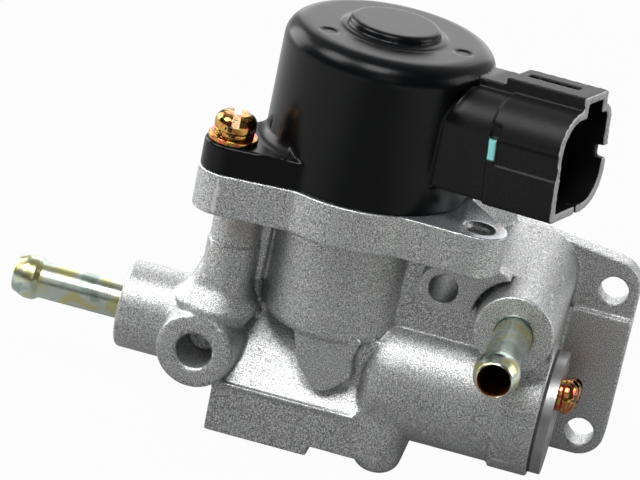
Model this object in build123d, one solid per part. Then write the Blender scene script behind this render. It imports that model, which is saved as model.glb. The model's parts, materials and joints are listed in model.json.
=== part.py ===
from build123d import *
import math
import os

# Idle air control valve with a stepping motor, modelled as it comes apart on a bench.
# Millimetres, +Z up. Sizes are measured from the motor axis and from the deck, the face that
# the motor sits on. The finished pieces then move to the mounting frame, whose origin lies
# midway between the two flange bolts, on the mounting face.

# Fits
RUNNING = 0.06
PRESSED = 0.02
FREE = 0.35
CLEAR_HOLE = 0.3

# Deck, the flange under the motor, with two motor lobes and one bare lobe
DECK_R = 22.9
DECK_T = 9.0
LOBE_PITCH = 30.8
LOBE_TIP_R = 6.0
LOBE_ROOT_R = 19.0
LOBE_FILLET = 3.0
FRONT_LOBE_ANGLE = 212.0
BARE_LOBE_ANGLE = -27.0
COLUMN_R = 6.4
COLUMN_ROOT_R = 7.6
THREAD_DEPTH = 8.4
HOLE_CHAMFER = 0.9

# Valve chamber under the deck, with the seat and the well below it
CHAMBER_R = 16.2
CHAMBER_DEPTH = 33.0
CHAMBER_EDGE = 1.8
COLLAR_R = 18.2
COLLAR_H = 2.4
BORE_R = 13.0
SEAT_DEPTH = 20.0
SEAT_T = 2.5
SEAT_R = 5.0
SEAT_CHAMFER = 0.8
WELL_R = 10.0
WELL_DEPTH = 27.5

# Water jacket, the horizontal cylinder, with its end flange at the right
JACKET_Y = -3.1
JACKET_Z = -40.8
JACKET_R = 13.6
JACKET_START = 10.0
JACKET_ROUND = 5.0
JACKET_END = 48.2
END_FLANGE_R = 14.5
END_FLANGE_L = 8.6
CAVITY_R = 6.4
CAVITY_START = -2.0
GALLERY_R = 3.1
RISER_R = 2.6
DRILL_PAST = 1.0
NECK_R = 5.1

# Left hose boss, the arm above it and the cored boss in front of it
HOSE_Y = -2.0
HOSE_Z = -42.0
HOSE_BOSS_R = 9.65
HOSE_BOSS_END = -45.0
ARM_X = -23.2
ARM_Y = -8.5
ARM_NECK_R = 5.2
ARM_STEP_Z = -18.5
ARM_R = 5.6
ARM_FLARE_Z = -23.5
SHOULDER_X = -24.4
SHOULDER_MID_Z = -28.6
SHOULDER_MID_R = 6.2
SHOULDER_Z = -33.0
SHOULDER_R = 9.3
SHOULDER_FOOT_R = 4.0
CORED_X = -25.6
CORED_FACE_Y = -18.0
CORED_R = 8.3
CORED_ROOT_R = 9.7
CORED_HOLE_R = 3.9
CORED_DEPTH = 11.0
CORED_CHAMFER = 0.6
BOSS_EDGE = 1.0
RIB_X = -16.8
RIB_T = 1.8
RIB_FRONT_Y = -7.5
RIB_BOTTOM_Z = -27.0

# Shield rib below the chamber, the lettering pad left bare, and the foot
SHIELD_FRONT_Y = -14.7
SHIELD_LEFT = -6.4
SHIELD_RIGHT = 8.6
SHIELD_KNEE_X = -3.7
SHIELD_KNEE_Z = -40.3
SHIELD_TIP_X = 1.8
SHIELD_TIP_Z = -45.5
SHIELD_CHIN_X = 8.1
SHIELD_CHIN_Z = -40.5
SHIELD_BROW_X = 7.5
SHIELD_BROW_Z = -35.8
SHIELD_ROUND = 2.6
CORE_LEFT = -22.0
CORE_FRONT_Y = -2.6
CORE_KNEE_Z = -35.2
PAD_FRONT_Y = -15.2
PAD_BACK_Y = 6.0
PAD_LEFT = -20.8
PAD_STEP_X = 2.0
PAD_RIGHT = 10.8
PAD_TOP_Z = -48.6
PAD_BOTTOM_Z = -60.2
PAD_STEP_H = 2.4
LEDGE_Y = -10.6
LEDGE_Z = -43.2
PAD_BEAD_T = 0.5
PAD_BEAD_H = 0.8
FOOT_X = 16.3
FOOT_W = 10.6
FOOT_BOTTOM_Z = -60.8
FOOT_FRONT_Y = -15.6
FOOT_ROUND = 3.8
BRIDGE_TOP_Z = -51.5

# Mounting flange at the back, its ports, and the bolts
MOUNT_FACE_Y = 22.5
PLATE_T = 6.5
PLATE_LEFT = 2.0
PLATE_RIGHT = 61.5
PLATE_TOP_LEFT_Z = -4.6
PLATE_TOP_RIGHT_Z = -12.3
PLATE_BOTTOM_Z = -57.6
PLATE_CUT_X = 22.0
PLATE_CUT_Z = -34.0
PLATE_CORNER_R = 6.0
PLATE_RECESS = 1.5
PLATE_STEP_Z = -24.2
BOLT_X = 56.0
BOLT_TOP_Z = -18.6
BOLT_SPACING = 33.6
BOLT_HOLE_R = 3.2
PORT_X = 11.0
PORT_W = 12.0
INLET_Z = -13.0
INLET_H = 7.6
OUTLET_Z = -25.0
OUTLET_H = 4.9

# Front of the casting between the chamber and the end flange
FRONT_WALL_Y = -8.3
INNER_BOLT_X = 22.8
INNER_BOLT_Z = -15.6
INNER_BOLT_R = 3.1
BOLT_PAD_R = 5.2
BOLT_PAD_FACE_Y = -13.0
BOLT_WEB_R = 4.2
BOLT_WEB_X = 39.0
WEB_GAP = 1.6
SPIGOT_X = 39.5
SPIGOT_Z = -19.6
SPIGOT_FACE_Y = -18.0
SPIGOT_BOSS_R = 8.4
DUCT_X = 37.8
DUCT_Z = -17.9
DUCT_R = 10.1
ROOF_DROP = 0.15
BLOCK_LEFT = 5.0
BLOCK_CORNER_X = 34.0
BLOCK_SIDE_Y = -7.0
BLOCK_RIGHT = 47.6
BLOCK_BOTTOM_Z = -53.5

# Hose pipes
PIPE_R = 4.0
PIPE_BORE_R = 3.1
PIPE_FREE = 25.0
PIPE_SUNK = 10.5
BEAD_R = 4.8
BEAD_LEAD = 3.1
BEAD_LAND = 1.8
BEAD_BACK = 0.9
PIPE_TIP_R = 3.7

# End cover of the jacket
GASKET_T = 0.6
COVER_R = 13.4
COVER_T = 2.1
COVER_BOLT_CIRCLE = 9.4
COVER_BOLT_ANGLE = 130.0
COVER_BOLT_TURN = -123.4
COVER_SCREW_R = 2.0
COVER_SCREW_L = 9.0
COVER_HEAD_R = 3.8
COVER_HEAD_H = 2.9
COVER_WASHER_R = 3.5
COVER_WASHER_T = 1.1

# Motor housing, one moulding with the connector
MOTOR_R = 22.3
MOTOR_H = 32.0
MOTOR_SHOULDER_R = 4.6
CROWN_R = 9.7
CROWN_H = 2.2
CROWN_EDGE = 1.1
CROWN_STEP_R = 11.0
CROWN_STEP_H = 0.4
MARK_PITCH_R = 15.4
MARK_R = 1.9
MARK_DEPTH = 0.35
MARK_ANGLES = (219.0, 351.0)
BASE_T = 6.3
BASE_TIP_R = 5.8
BASE_ROOT_R = 18.6
BASE_EDGE = 0.8
GUSSET_H = 6.0
GUSSET_R = 10.0
GUSSET_TIP_R = 1.0
GUSSET_INSET = 1.5
POCKET_R = 6.3
MOTOR_BORE_R = 17.6
MOTOR_TOP_WALL = 2.6
MOTOR_CEILING = MOTOR_H - MOTOR_TOP_WALL
BUSH_SEAT_R = 7.0

# Connector, along its own axis from the motor axis: A along, S across, H up
PLUG_ANGLE = -21.0
PLUG_TILT = 6.0
PLUG_ROOT_A = 14.0
PLUG_MOUTH_A = 49.6
PLUG_FRONT_S = -9.6
PLUG_BACK_S = 11.6
PLUG_LOW_H = 4.1
PLUG_TOP_H = 26.0
PLUG_BIG_R = 8.6
PLUG_SMALL_R = 3.2
PLUG_TINY_R = 0.6
PLUG_WALL = 1.7
SOCKET_DEPTH = 18.0
HOOD_FRONT_S = -0.8
HOOD_BACK_S = 9.0
HOOD_H = 2.8
HOOD_START_A = 31.2
NECK_INSET = 0.4
NECK_END_A = 33.4
NECK_PLATE_H = 1.3
NECK_PLATE_START_A = 17.0
SLOT_START_A = 33.6
SLOT_END_A = 45.2
SLOT_S = 4.6
SLOT_W = 1.7
PANEL_LOW_H = 12.8
PANEL_TOP_H = 18.2
PANEL_START_A = 35.0
PANEL_DEPTH = 0.5
KEY_W = 1.7
KEY_LAP = 0.5
KEY_H = 3.0
KEY_DEPTH = 1.3
NOTCH_DEPTH = 2.0
NOTCH_H = 14.0
NOTCH_W = 2.6
NOTCH_S = 0.3
NOTCH_SLIT = 0.9
PIN_COUNT = 6
PIN_W = 1.2
PIN_T = 0.8
PIN_PITCH_S = 4.6
PIN_PITCH_H = 7.0
PIN_START_A = 20.6
PIN_TIP_A = 41.5

# Motor fixing screws and washers
SCREW_R = 2.5
SCREW_GRIP = 7.0
SCREW_HEAD_R = 4.4
SCREW_HEAD_H = 3.7
SCREW_SLOT_W = 1.6
SCREW_SLOT_D = 2.2
SCREW_SLOT_ANGLE = 100.0
WASHER_R = 5.2
WASHER_T = 1.0
SPRING_WASHER_R = 4.2
SPRING_WASHER_T = 1.3
SPRING_WASHER_GAP = 0.7
SLEEVE_WALL = 0.9

# Guide plate that closes the motor and enters the chamber, with its seal ring
GUIDE_T = 2.4
GUIDE_SPIGOT_L = 5.0
GUIDE_FIT = 0.1
GUIDE_FLOOR_Z = -1.5
SEAL_GROOVE_TOP_Z = -1.2
SEAL_GROOVE_W = 2.2
SEAL_GROOVE_DEPTH = 1.4
SEAL_WIRE_R = 0.72

# Stator, two like halves one above the other
POLE_R = 11.2
POLE_T = 0.9
POLE_COUNT = 6
POLE_ROOT_W = 5.0
POLE_TIP_W = 2.4
POLE_L = 8.6
STATOR_FIT = 0.15
STATOR_H = 11.6
STATOR_SHEET = 1.0
BOBBIN_WALL = 0.8
BOBBIN_FLANGE_R = 16.1
COIL_R = 15.7

# Rotor, shaft, valve plug and return spring
MAGNET_R = 10.85
MAGNET_L = 20.6
HUB_R = 7.0
JOURNAL_R = 3.0
BUSH_R = 5.0
SHAFT_R = 2.0
SHAFT_FLAT = 1.5
SHAFT_HEADROOM = 2.4
SHAFT_FLAT_TOP_Z = 2.0
VALVE_LIFT = 6.0
CONE_TOP_R = 6.1
CONE_STANDS = 2.0
CONE_TIP_R = 2.7
CONE_L = 6.5
PLUG_FLANGE_T = 1.5
PLUG_HUB_R = 3.2
PLUG_HUB_L = 3.0
SPRING_R = 4.6
SPRING_WIRE_R = 0.35
SPRING_TURNS = 4

REAR_LOBE_ANGLE = FRONT_LOBE_ANGLE - 180.0
MOTOR_LOBES = (FRONT_LOBE_ANGLE, REAR_LOBE_ANGLE)
PLATE_FRONT_Y = MOUNT_FACE_Y - PLATE_T
CONE_TOP_Z = CONE_STANDS - SEAT_DEPTH
SHAFT_TOP_Z = MOTOR_CEILING - VALVE_LIFT - SHAFT_HEADROOM
BOLT_LOW_Z = BOLT_TOP_Z - BOLT_SPACING
TO_MOUNT = Pos(-BOLT_X, -MOUNT_FACE_Y, -(BOLT_TOP_Z + BOLT_LOW_Z) / 2)
CENTRED_ON_BASE = (Align.CENTER, Align.CENTER, Align.MIN)


def polar(radius, angle):
    """Point at a radius and an angle in degrees."""
    turn = math.radians(angle)
    return Vector(radius * math.cos(turn), radius * math.sin(turn))


def along_x(sketch, start, end):
    """Carry a sketch drawn in Y and Z from one X to another."""
    return extrude(Plane.YZ.offset(start) * sketch, amount=end - start)


def along_y(sketch, front, back):
    """Carry a sketch drawn in X and Z from a front Y to a back Y."""
    return extrude(Plane.XZ.offset(-back) * sketch, amount=back - front)


def along_z(sketch, low, high):
    """Carry a sketch drawn in X and Y from one height to another."""
    return extrude(Pos(0, 0, low) * sketch, amount=high - low)


def tube(outer, inner, low, high):
    """Upright ring on the motor axis."""
    return along_z(Circle(outer) - Circle(inner), low, high)


def rod(radius, low, high):
    """Upright round bar on the motor axis."""
    return along_z(Circle(radius), low, high)


def outline(*points):
    """Closed straight-sided face through the points."""
    return make_face(Polyline(*points, close=True))


def turned(*points):
    """Solid of revolution about the motor axis, from radius and height pairs."""
    return revolve(Plane.XZ * outline(*points), Axis.Z)


def boss_to_front(x, z, root_r, face_r, root_y, face_y):
    """Drafted round boss that points to the front."""
    cone = Cone(root_r, face_r, root_y - face_y, align=CENTRED_ON_BASE)
    return Pos(x, root_y, z) * Rot(90, 0, 0) * cone


def lobe(angle, tip_r, root_r):
    """Tapered ear round a screw, drawn as the two tangents and the tip circle."""
    lean = math.degrees(math.acos((root_r - tip_r) / LOBE_PITCH))
    centre = polar(LOBE_PITCH, angle)
    left, right = angle + lean, angle - lean
    corners = (polar(root_r, left), centre + polar(tip_r, left),
               centre + polar(tip_r, right), polar(root_r, right))
    return outline(*corners) + Pos(centre) * Circle(tip_r)


def lobed_disc(radius, angles, tip_r, root_r):
    """Round flange with ears, its inner corners rounded."""
    disc = Circle(radius)
    for angle in angles:
        disc += lobe(angle, tip_r, root_r)
    corners = [v for v in disc.vertices() if abs(Vector(*v).length - radius) < 0.01]
    return fillet(corners, LOBE_FILLET)


def at_lobes(solid):
    """Copies of a solid at the two motor screws."""
    return [Pos(polar(LOBE_PITCH, angle)) * solid for angle in MOTOR_LOBES]


def cover_bolts():
    """Centres of the two cover screws in Y and Z."""
    centre = Vector(JACKET_Y, JACKET_Z)
    return [centre + polar(COVER_BOLT_CIRCLE, COVER_BOLT_ANGLE + turn) for turn in (0.0, COVER_BOLT_TURN)]


def deck():
    """Flange under the motor with its collar, chamber and rear column."""
    angles = MOTOR_LOBES + (BARE_LOBE_ANGLE,)
    flange = along_z(lobed_disc(DECK_R, angles, LOBE_TIP_R, LOBE_ROOT_R), -DECK_T, 0)
    chamber = along_z(Circle(CHAMBER_R), -CHAMBER_DEPTH, -DECK_T)
    chamber = fillet(chamber.edges().group_by(Axis.Z)[0], CHAMBER_EDGE)
    collar = along_z(Circle(COLLAR_R), -DECK_T - COLLAR_H, -DECK_T)
    column = Cone(COLUMN_ROOT_R, COLUMN_R, -DECK_T - INNER_BOLT_Z, align=CENTRED_ON_BASE)
    column = Pos(0, 0, INNER_BOLT_Z) * Pos(polar(LOBE_PITCH, REAR_LOBE_ANGLE)) * column
    behind = Pos(DECK_R, INNER_BOLT_Z) * Rectangle(2 * DECK_R, 2 * DECK_R)
    column -= along_y(behind, MOUNT_FACE_Y, MOUNT_FACE_Y + COLUMN_ROOT_R)
    return flange + chamber + collar + column


def jacket():
    """Horizontal cylinder, its end flange, and the slimmer neck and core to the left."""
    axis = Pos(JACKET_Y, JACKET_Z)
    drum = along_x(axis * Circle(JACKET_R), JACKET_START, JACKET_END)
    drum = fillet(drum.edges().group_by(Axis.X)[0], JACKET_ROUND)
    rim = along_x(axis * Circle(END_FLANGE_R), JACKET_END - END_FLANGE_L, JACKET_END)
    neck = along_x(Pos(HOSE_Y, HOSE_Z) * Circle(NECK_R), CORED_X, JACKET_START + JACKET_ROUND)
    top_z = -CHAMBER_DEPTH + CHAMBER_EDGE
    core = outline((LEDGE_Y, LEDGE_Z), (CORE_FRONT_Y, CORE_KNEE_Z), (CORE_FRONT_Y, top_z),
                   (PAD_BACK_Y, top_z), (PAD_BACK_Y, LEDGE_Z))
    return drum + rim + neck + along_x(core, CORE_LEFT, JACKET_START + JACKET_ROUND)


def left_end():
    """Hose boss, cored boss, arm up to the deck and the thin rib beside it."""
    hose = along_x(Pos(HOSE_Y, HOSE_Z) * Circle(HOSE_BOSS_R), HOSE_BOSS_END, CORED_X)
    hose = fillet(hose.edges().group_by(Axis.X)[0], BOSS_EDGE)
    cored = boss_to_front(CORED_X, HOSE_Z, CORED_ROOT_R, CORED_R, HOSE_Y, CORED_FACE_Y)
    cored = fillet(cored.edges().group_by(Axis.Y)[0], BOSS_EDGE)
    flush_r = ARM_R - (ARM_X - SHOULDER_X)
    flare = turned((0, HOSE_Z), (SHOULDER_FOOT_R, HOSE_Z), (SHOULDER_R, SHOULDER_Z),
                   (SHOULDER_MID_R, SHOULDER_MID_Z), (flush_r, ARM_FLARE_Z), (0, ARM_FLARE_Z))
    arm = Pos(SHOULDER_X, ARM_Y) * flare
    arm += along_z(Pos(ARM_X, ARM_Y) * Circle(ARM_R), HOSE_Z, ARM_STEP_Z)
    arm += along_z(Pos(ARM_X, ARM_Y) * Circle(ARM_NECK_R), ARM_STEP_Z, -DECK_T)
    arm += along_z(Pos(ARM_X, (ARM_Y + HOSE_Y) / 2) * Rectangle(2 * ARM_NECK_R, HOSE_Y - ARM_Y),
                   HOSE_Z, -DECK_T)
    rib = along_z(Pos(RIB_X, RIB_FRONT_Y / 2) * Rectangle(RIB_T, -RIB_FRONT_Y), RIB_BOTTOM_Z, -DECK_T)
    web = along_z(Pos((ARM_X + RIB_X) / 2, HOSE_Y) * Rectangle(RIB_X - ARM_X + RIB_T, 2 * RIB_T),
                  HOSE_Z, -DECK_T)
    return hose + cored + arm + rib + web


def shield():
    """Shield-shaped rib that runs down from the chamber."""
    top_z = -CHAMBER_DEPTH + CHAMBER_EDGE
    face = outline((SHIELD_LEFT, top_z), (SHIELD_KNEE_X, SHIELD_KNEE_Z), (SHIELD_TIP_X, SHIELD_TIP_Z),
                   (SHIELD_CHIN_X, SHIELD_CHIN_Z), (SHIELD_BROW_X, SHIELD_BROW_Z), (SHIELD_RIGHT, top_z))
    low = face.vertices().sort_by(Axis.Y)[:3]
    return along_y(fillet(low, SHIELD_ROUND), SHIELD_FRONT_Y, HOSE_Y)


def pad():
    """Bare pad on the lower front with its sloping ledge, bead and foot."""
    section = outline((PAD_FRONT_Y, PAD_BOTTOM_Z), (PAD_FRONT_Y, PAD_TOP_Z), (LEDGE_Y, LEDGE_Z),
                      (HOSE_Y, LEDGE_Z), (PAD_BACK_Y, PAD_BOTTOM_Z))
    block = along_x(section, PAD_LEFT, PAD_RIGHT)
    notch = Pos((PAD_STEP_X + PAD_RIGHT) / 2, PAD_BOTTOM_Z) * Rectangle(
        PAD_RIGHT - PAD_STEP_X, 2 * PAD_STEP_H)
    block -= along_y(notch, PAD_FRONT_Y, PAD_BACK_Y)
    bead = Pos((PAD_LEFT + PAD_RIGHT) / 2, PAD_TOP_Z) * Rectangle(PAD_RIGHT - PAD_LEFT, PAD_BEAD_H)
    block += along_y(bead, PAD_FRONT_Y - PAD_BEAD_T, PAD_FRONT_Y + PAD_BEAD_T)
    nose_y = FOOT_FRONT_Y + FOOT_W / 2
    sole = Pos(FOOT_X, nose_y) * Circle(FOOT_W / 2)
    sole += Pos(FOOT_X, (nose_y + PAD_BACK_Y) / 2) * Rectangle(FOOT_W, PAD_BACK_Y - nose_y)
    toe = along_z(sole, FOOT_BOTTOM_Z, HOSE_Z)
    bridge = outline((PAD_STEP_X, PAD_BOTTOM_Z + PAD_STEP_H), (FOOT_X, PAD_BOTTOM_Z + PAD_STEP_H),
                     (FOOT_X, BRIDGE_TOP_Z), (PAD_STEP_X, BRIDGE_TOP_Z))
    block += along_y(bridge, PAD_FRONT_Y, PAD_BACK_Y)
    return block + fillet(toe.edges().group_by(Axis.Z)[0], FOOT_ROUND)


def duct_roof(back_y):
    """Wall left of the duct, its sloping top just below the duct's own top all the way."""
    share = (back_y - FRONT_WALL_Y) / (back_y - SPIGOT_FACE_Y)
    back_top = DUCT_Z + DUCT_R
    front_top = back_top + share * (SPIGOT_Z + SPIGOT_BOSS_R - back_top)
    front_x = DUCT_X + share * (SPIGOT_X - DUCT_X)
    ends = []
    for y, right, duct_top in ((back_y, DUCT_X, back_top), (FRONT_WALL_Y, front_x, front_top)):
        top = duct_top - ROOF_DROP
        face = outline((INNER_BOLT_X, top), (right, top), (right, JACKET_Z), (INNER_BOLT_X, JACKET_Z))
        ends.append(Plane.XZ.offset(-y) * face)
    return loft(Sketch() + ends)


def front_block():
    """Wall between chamber and flange, the inner bolt's pad and the duct behind the front pipe."""
    back_y = PLATE_FRONT_Y + PLATE_RECESS
    wall_right = INNER_BOLT_X + BOLT_PAD_R
    wall = outline((BLOCK_LEFT, -DECK_T), (wall_right, -DECK_T), (wall_right, JACKET_Z),
                   (BLOCK_LEFT, JACKET_Z))
    solid = along_y(wall, FRONT_WALL_Y, back_y) + duct_roof(back_y)
    side = outline((SPIGOT_X - SPIGOT_BOSS_R, SPIGOT_Z), (BLOCK_RIGHT, SPIGOT_Z),
                   (BLOCK_RIGHT, BLOCK_BOTTOM_Z), (FOOT_X, BLOCK_BOTTOM_Z), (FOOT_X, JACKET_Z))
    solid += along_y(side, BLOCK_SIDE_Y, back_y)
    ends = [Plane.XZ.offset(-back_y) * Pos(DUCT_X, DUCT_Z) * Circle(DUCT_R),
            Plane.XZ.offset(-SPIGOT_FACE_Y) * Pos(SPIGOT_X, SPIGOT_Z) * Circle(SPIGOT_BOSS_R)]
    solid += loft(Sketch() + ends)
    low_z = INNER_BOLT_Z - BOLT_WEB_R
    web = outline((INNER_BOLT_X, -DECK_T), (BLOCK_CORNER_X, -DECK_T), (BOLT_WEB_X, SPIGOT_Z + SPIGOT_BOSS_R),
                  (BOLT_WEB_X, low_z), (INNER_BOLT_X, low_z))
    web += Pos(INNER_BOLT_X, INNER_BOLT_Z) * Circle(BOLT_PAD_R)
    web -= Pos(SPIGOT_X, SPIGOT_Z) * Circle(SPIGOT_BOSS_R + WEB_GAP)
    return solid + along_y(web, BOLT_PAD_FACE_Y, FRONT_WALL_Y)


def mounting_plate():
    """Flange that bolts to the manifold, thinner round the upper bolt."""
    face = outline((PLATE_LEFT, PLATE_TOP_LEFT_Z), (PLATE_RIGHT, PLATE_TOP_RIGHT_Z),
                   (PLATE_RIGHT, PLATE_BOTTOM_Z), (PLATE_CUT_X, PLATE_BOTTOM_Z), (PLATE_LEFT, PLATE_CUT_Z))
    plate = along_y(fillet(face.vertices(), PLATE_CORNER_R), PLATE_FRONT_Y, MOUNT_FACE_Y)
    recess = Rectangle(PLATE_RIGHT - DUCT_X, -PLATE_STEP_Z)
    recess = Pos((DUCT_X + PLATE_RIGHT) / 2, PLATE_STEP_Z / 2) * recess
    return plate - along_y(recess, PLATE_FRONT_Y, PLATE_FRONT_Y + PLATE_RECESS)


def air_passages():
    """Chamber bore, seat, well and the two ports to the mounting face."""
    well = along_z(Circle(WELL_R), -WELL_DEPTH, -SEAT_DEPTH - SEAT_T)
    seat = turned((0, -WELL_DEPTH), (SEAT_R, -WELL_DEPTH), (SEAT_R, -SEAT_DEPTH - SEAT_CHAMFER),
                  (SEAT_R + SEAT_CHAMFER, -SEAT_DEPTH), (0, -SEAT_DEPTH))
    bore = along_z(Circle(BORE_R), -SEAT_DEPTH, 0)
    inlet = Pos(PORT_X, INLET_Z) * SlotOverall(PORT_W, INLET_H)
    outlet = Pos(PORT_X, OUTLET_Z) * SlotOverall(PORT_W, OUTLET_H)
    return bore + seat + well + along_y(inlet, 0, MOUNT_FACE_Y) + along_y(outlet, 0, MOUNT_FACE_Y)


def water_passages():
    """Jacket cavity, the gallery from the left pipe and the way up to the front pipe."""
    cavity = along_x(Pos(JACKET_Y, JACKET_Z) * Circle(CAVITY_R), CAVITY_START, JACKET_END)
    axis = Pos(HOSE_Y, HOSE_Z)
    gallery = along_x(axis * Circle(GALLERY_R), HOSE_BOSS_END, CAVITY_START + DRILL_PAST)
    left_socket = along_x(axis * Circle(PIPE_R + PRESSED), HOSE_BOSS_END, HOSE_BOSS_END + PIPE_SUNK)
    spigot = Pos(SPIGOT_X, SPIGOT_Z)
    front_socket = along_y(spigot * Circle(PIPE_R + PRESSED), SPIGOT_FACE_Y, SPIGOT_FACE_Y + PIPE_SUNK)
    front_way = along_y(spigot * Circle(GALLERY_R), SPIGOT_FACE_Y, JACKET_Y + RISER_R + DRILL_PAST)
    riser = along_z(Pos(SPIGOT_X, JACKET_Y) * Circle(RISER_R), JACKET_Z, SPIGOT_Z)
    return cavity + gallery + left_socket + front_socket + front_way + riser


def fixing_holes():
    """Bolt holes, screw holes and the cored hole of the casting."""
    holes = along_y(Pos(INNER_BOLT_X, INNER_BOLT_Z) * Circle(INNER_BOLT_R), BOLT_PAD_FACE_Y, MOUNT_FACE_Y)
    for z in (BOLT_TOP_Z, BOLT_LOW_Z):
        holes += along_y(Pos(BOLT_X, z) * Circle(BOLT_HOLE_R), PLATE_FRONT_Y, MOUNT_FACE_Y)
    thread = turned((0, -THREAD_DEPTH), (SCREW_R + PRESSED, -THREAD_DEPTH),
                    (SCREW_R + PRESSED, -HOLE_CHAMFER), (SCREW_R + HOLE_CHAMFER, 0), (0, 0))
    for angle in MOTOR_LOBES + (BARE_LOBE_ANGLE,):
        holes += Pos(polar(LOBE_PITCH, angle)) * thread
    cored = Cylinder(CORED_HOLE_R, CORED_DEPTH, align=CENTRED_ON_BASE)
    cored += Cone(CORED_HOLE_R + CORED_CHAMFER, CORED_HOLE_R, CORED_CHAMFER, align=CENTRED_ON_BASE)
    holes += Pos(CORED_X, CORED_FACE_Y, HOSE_Z) * Rot(-90, 0, 0) * cored
    for centre in cover_bolts():
        holes += along_x(Pos(centre) * Circle(COVER_SCREW_R + PRESSED),
                         JACKET_END - COVER_SCREW_L, JACKET_END)
    return holes


def valve_body():
    """Die-cast aluminium body, one piece."""
    casting = deck() + jacket() + left_end() + shield() + pad() + front_block() + mounting_plate()
    return casting - air_passages() - water_passages() - fixing_holes()


def hose_pipe():
    """Steel hose pipe, tip at the origin and its sunk end up the Z axis."""
    total = PIPE_FREE + PIPE_SUNK
    bead_end = BEAD_LEAD + BEAD_LAND
    return turned((PIPE_BORE_R, 0), (PIPE_TIP_R, 0), (BEAD_R, BEAD_LEAD), (BEAD_R, bead_end),
                  (PIPE_R, bead_end + BEAD_BACK), (PIPE_R, total), (PIPE_BORE_R, total))


def left_hose_pipe():
    """Pipe in the left boss."""
    return Pos(HOSE_BOSS_END - PIPE_FREE, HOSE_Y, HOSE_Z) * Rot(0, 90, 0) * hose_pipe()


def front_hose_pipe():
    """Pipe in the front boss."""
    return Pos(SPIGOT_X, SPIGOT_FACE_Y - PIPE_FREE, SPIGOT_Z) * Rot(-90, 0, 0) * hose_pipe()


def cover_disc(thickness, start, hole_r, bore_r):
    """Round plate on the end flange with its two screw holes."""
    face = Pos(JACKET_Y, JACKET_Z) * Circle(COVER_R)
    if bore_r:
        face -= Pos(JACKET_Y, JACKET_Z) * Circle(bore_r)
    for centre in cover_bolts():
        face -= Pos(centre) * Circle(hole_r)
    return along_x(face, start, start + thickness)


def cover_gasket():
    """Flat gasket under the end cover."""
    return cover_disc(GASKET_T, JACKET_END, COVER_SCREW_R + CLEAR_HOLE, CAVITY_R)


def end_cover():
    """Plate that closes the jacket."""
    return cover_disc(COVER_T, JACKET_END + GASKET_T, COVER_SCREW_R + CLEAR_HOLE, 0)


def spring_washer(outer, inner, thickness):
    """Split ring, cut through on one side."""
    ring = Circle(outer) - Circle(inner)
    ring -= Pos((outer + inner) / 2, 0) * Rectangle(outer, SPRING_WASHER_GAP)
    return extrude(ring, amount=thickness)


def slotted_screw(shank_r, shank_l, head_r, head_h):
    """Round-head screw, head up, with its shank below the origin."""
    head = Cylinder(head_r, head_h, align=CENTRED_ON_BASE)
    head = fillet(head.edges().group_by(Axis.Z)[-1], head_h / 2)
    slot = Box(2 * head_r, SCREW_SLOT_W, 2 * SCREW_SLOT_D)
    shank = Pos(0, 0, -shank_l) * Cylinder(shank_r, shank_l, align=CENTRED_ON_BASE)
    return head - Pos(0, 0, head_h) * slot + shank


def motor_screws():
    """Two screws through the motor lobes."""
    under_head = BASE_T + WASHER_T + SPRING_WASHER_T
    screw = slotted_screw(SCREW_R, under_head + SCREW_GRIP, SCREW_HEAD_R, SCREW_HEAD_H)
    return at_lobes(Pos(0, 0, under_head) * Rot(0, 0, SCREW_SLOT_ANGLE) * screw)


def motor_flat_washers():
    """Flat washers on the motor lobes."""
    return at_lobes(tube(WASHER_R, SCREW_R + CLEAR_HOLE, BASE_T, BASE_T + WASHER_T))


def motor_spring_washers():
    """Spring washers under the screw heads."""
    ring = spring_washer(SPRING_WASHER_R, SCREW_R + CLEAR_HOLE, SPRING_WASHER_T)
    return at_lobes(Pos(0, 0, BASE_T + WASHER_T) * ring)


def lobe_sleeves():
    """Steel sleeves that carry the clamp load through the plastic lobes."""
    inner = SCREW_R + CLEAR_HOLE
    return at_lobes(tube(inner + SLEEVE_WALL, inner, 0, BASE_T))


def on_cover(solid):
    """Copies of a solid at the two cover screws, its Z turned to the right."""
    start = JACKET_END + GASKET_T + COVER_T
    return [Pos(start, centre.X, centre.Y) * Rot(0, 90, 0) * solid for centre in cover_bolts()]


def cover_screws():
    """Two screws that hold the end cover."""
    shank_l = COVER_WASHER_T + COVER_T + GASKET_T + COVER_SCREW_L - CLEAR_HOLE
    screw = slotted_screw(COVER_SCREW_R, shank_l, COVER_HEAD_R, COVER_HEAD_H)
    return on_cover(Pos(0, 0, COVER_WASHER_T) * screw)


def cover_spring_washers():
    """Spring washers under the cover screws."""
    return on_cover(spring_washer(COVER_WASHER_R, COVER_SCREW_R + CLEAR_HOLE, COVER_WASHER_T))


def plug_plane(along):
    """Plane across the connector at a distance along its axis."""
    turn, tilt = math.radians(PLUG_ANGLE), math.radians(PLUG_TILT)
    axis = Vector(math.cos(tilt) * math.cos(turn), math.cos(tilt) * math.sin(turn), math.sin(tilt))
    across = Vector(-math.sin(turn), math.cos(turn), 0)
    return Plane(origin=axis * along, x_dir=across, z_dir=axis)


def along_plug(sketch, start, end):
    """Carry a sketch drawn across the connector along its axis."""
    return extrude(plug_plane(start) * sketch, amount=end - start)


def span(low_s, high_s, low_h, high_h):
    """Rectangle across the connector from its limits."""
    centre = Pos((low_s + high_s) / 2, (low_h + high_h) / 2)
    return centre * Rectangle(high_s - low_s, high_h - low_h)


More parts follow.
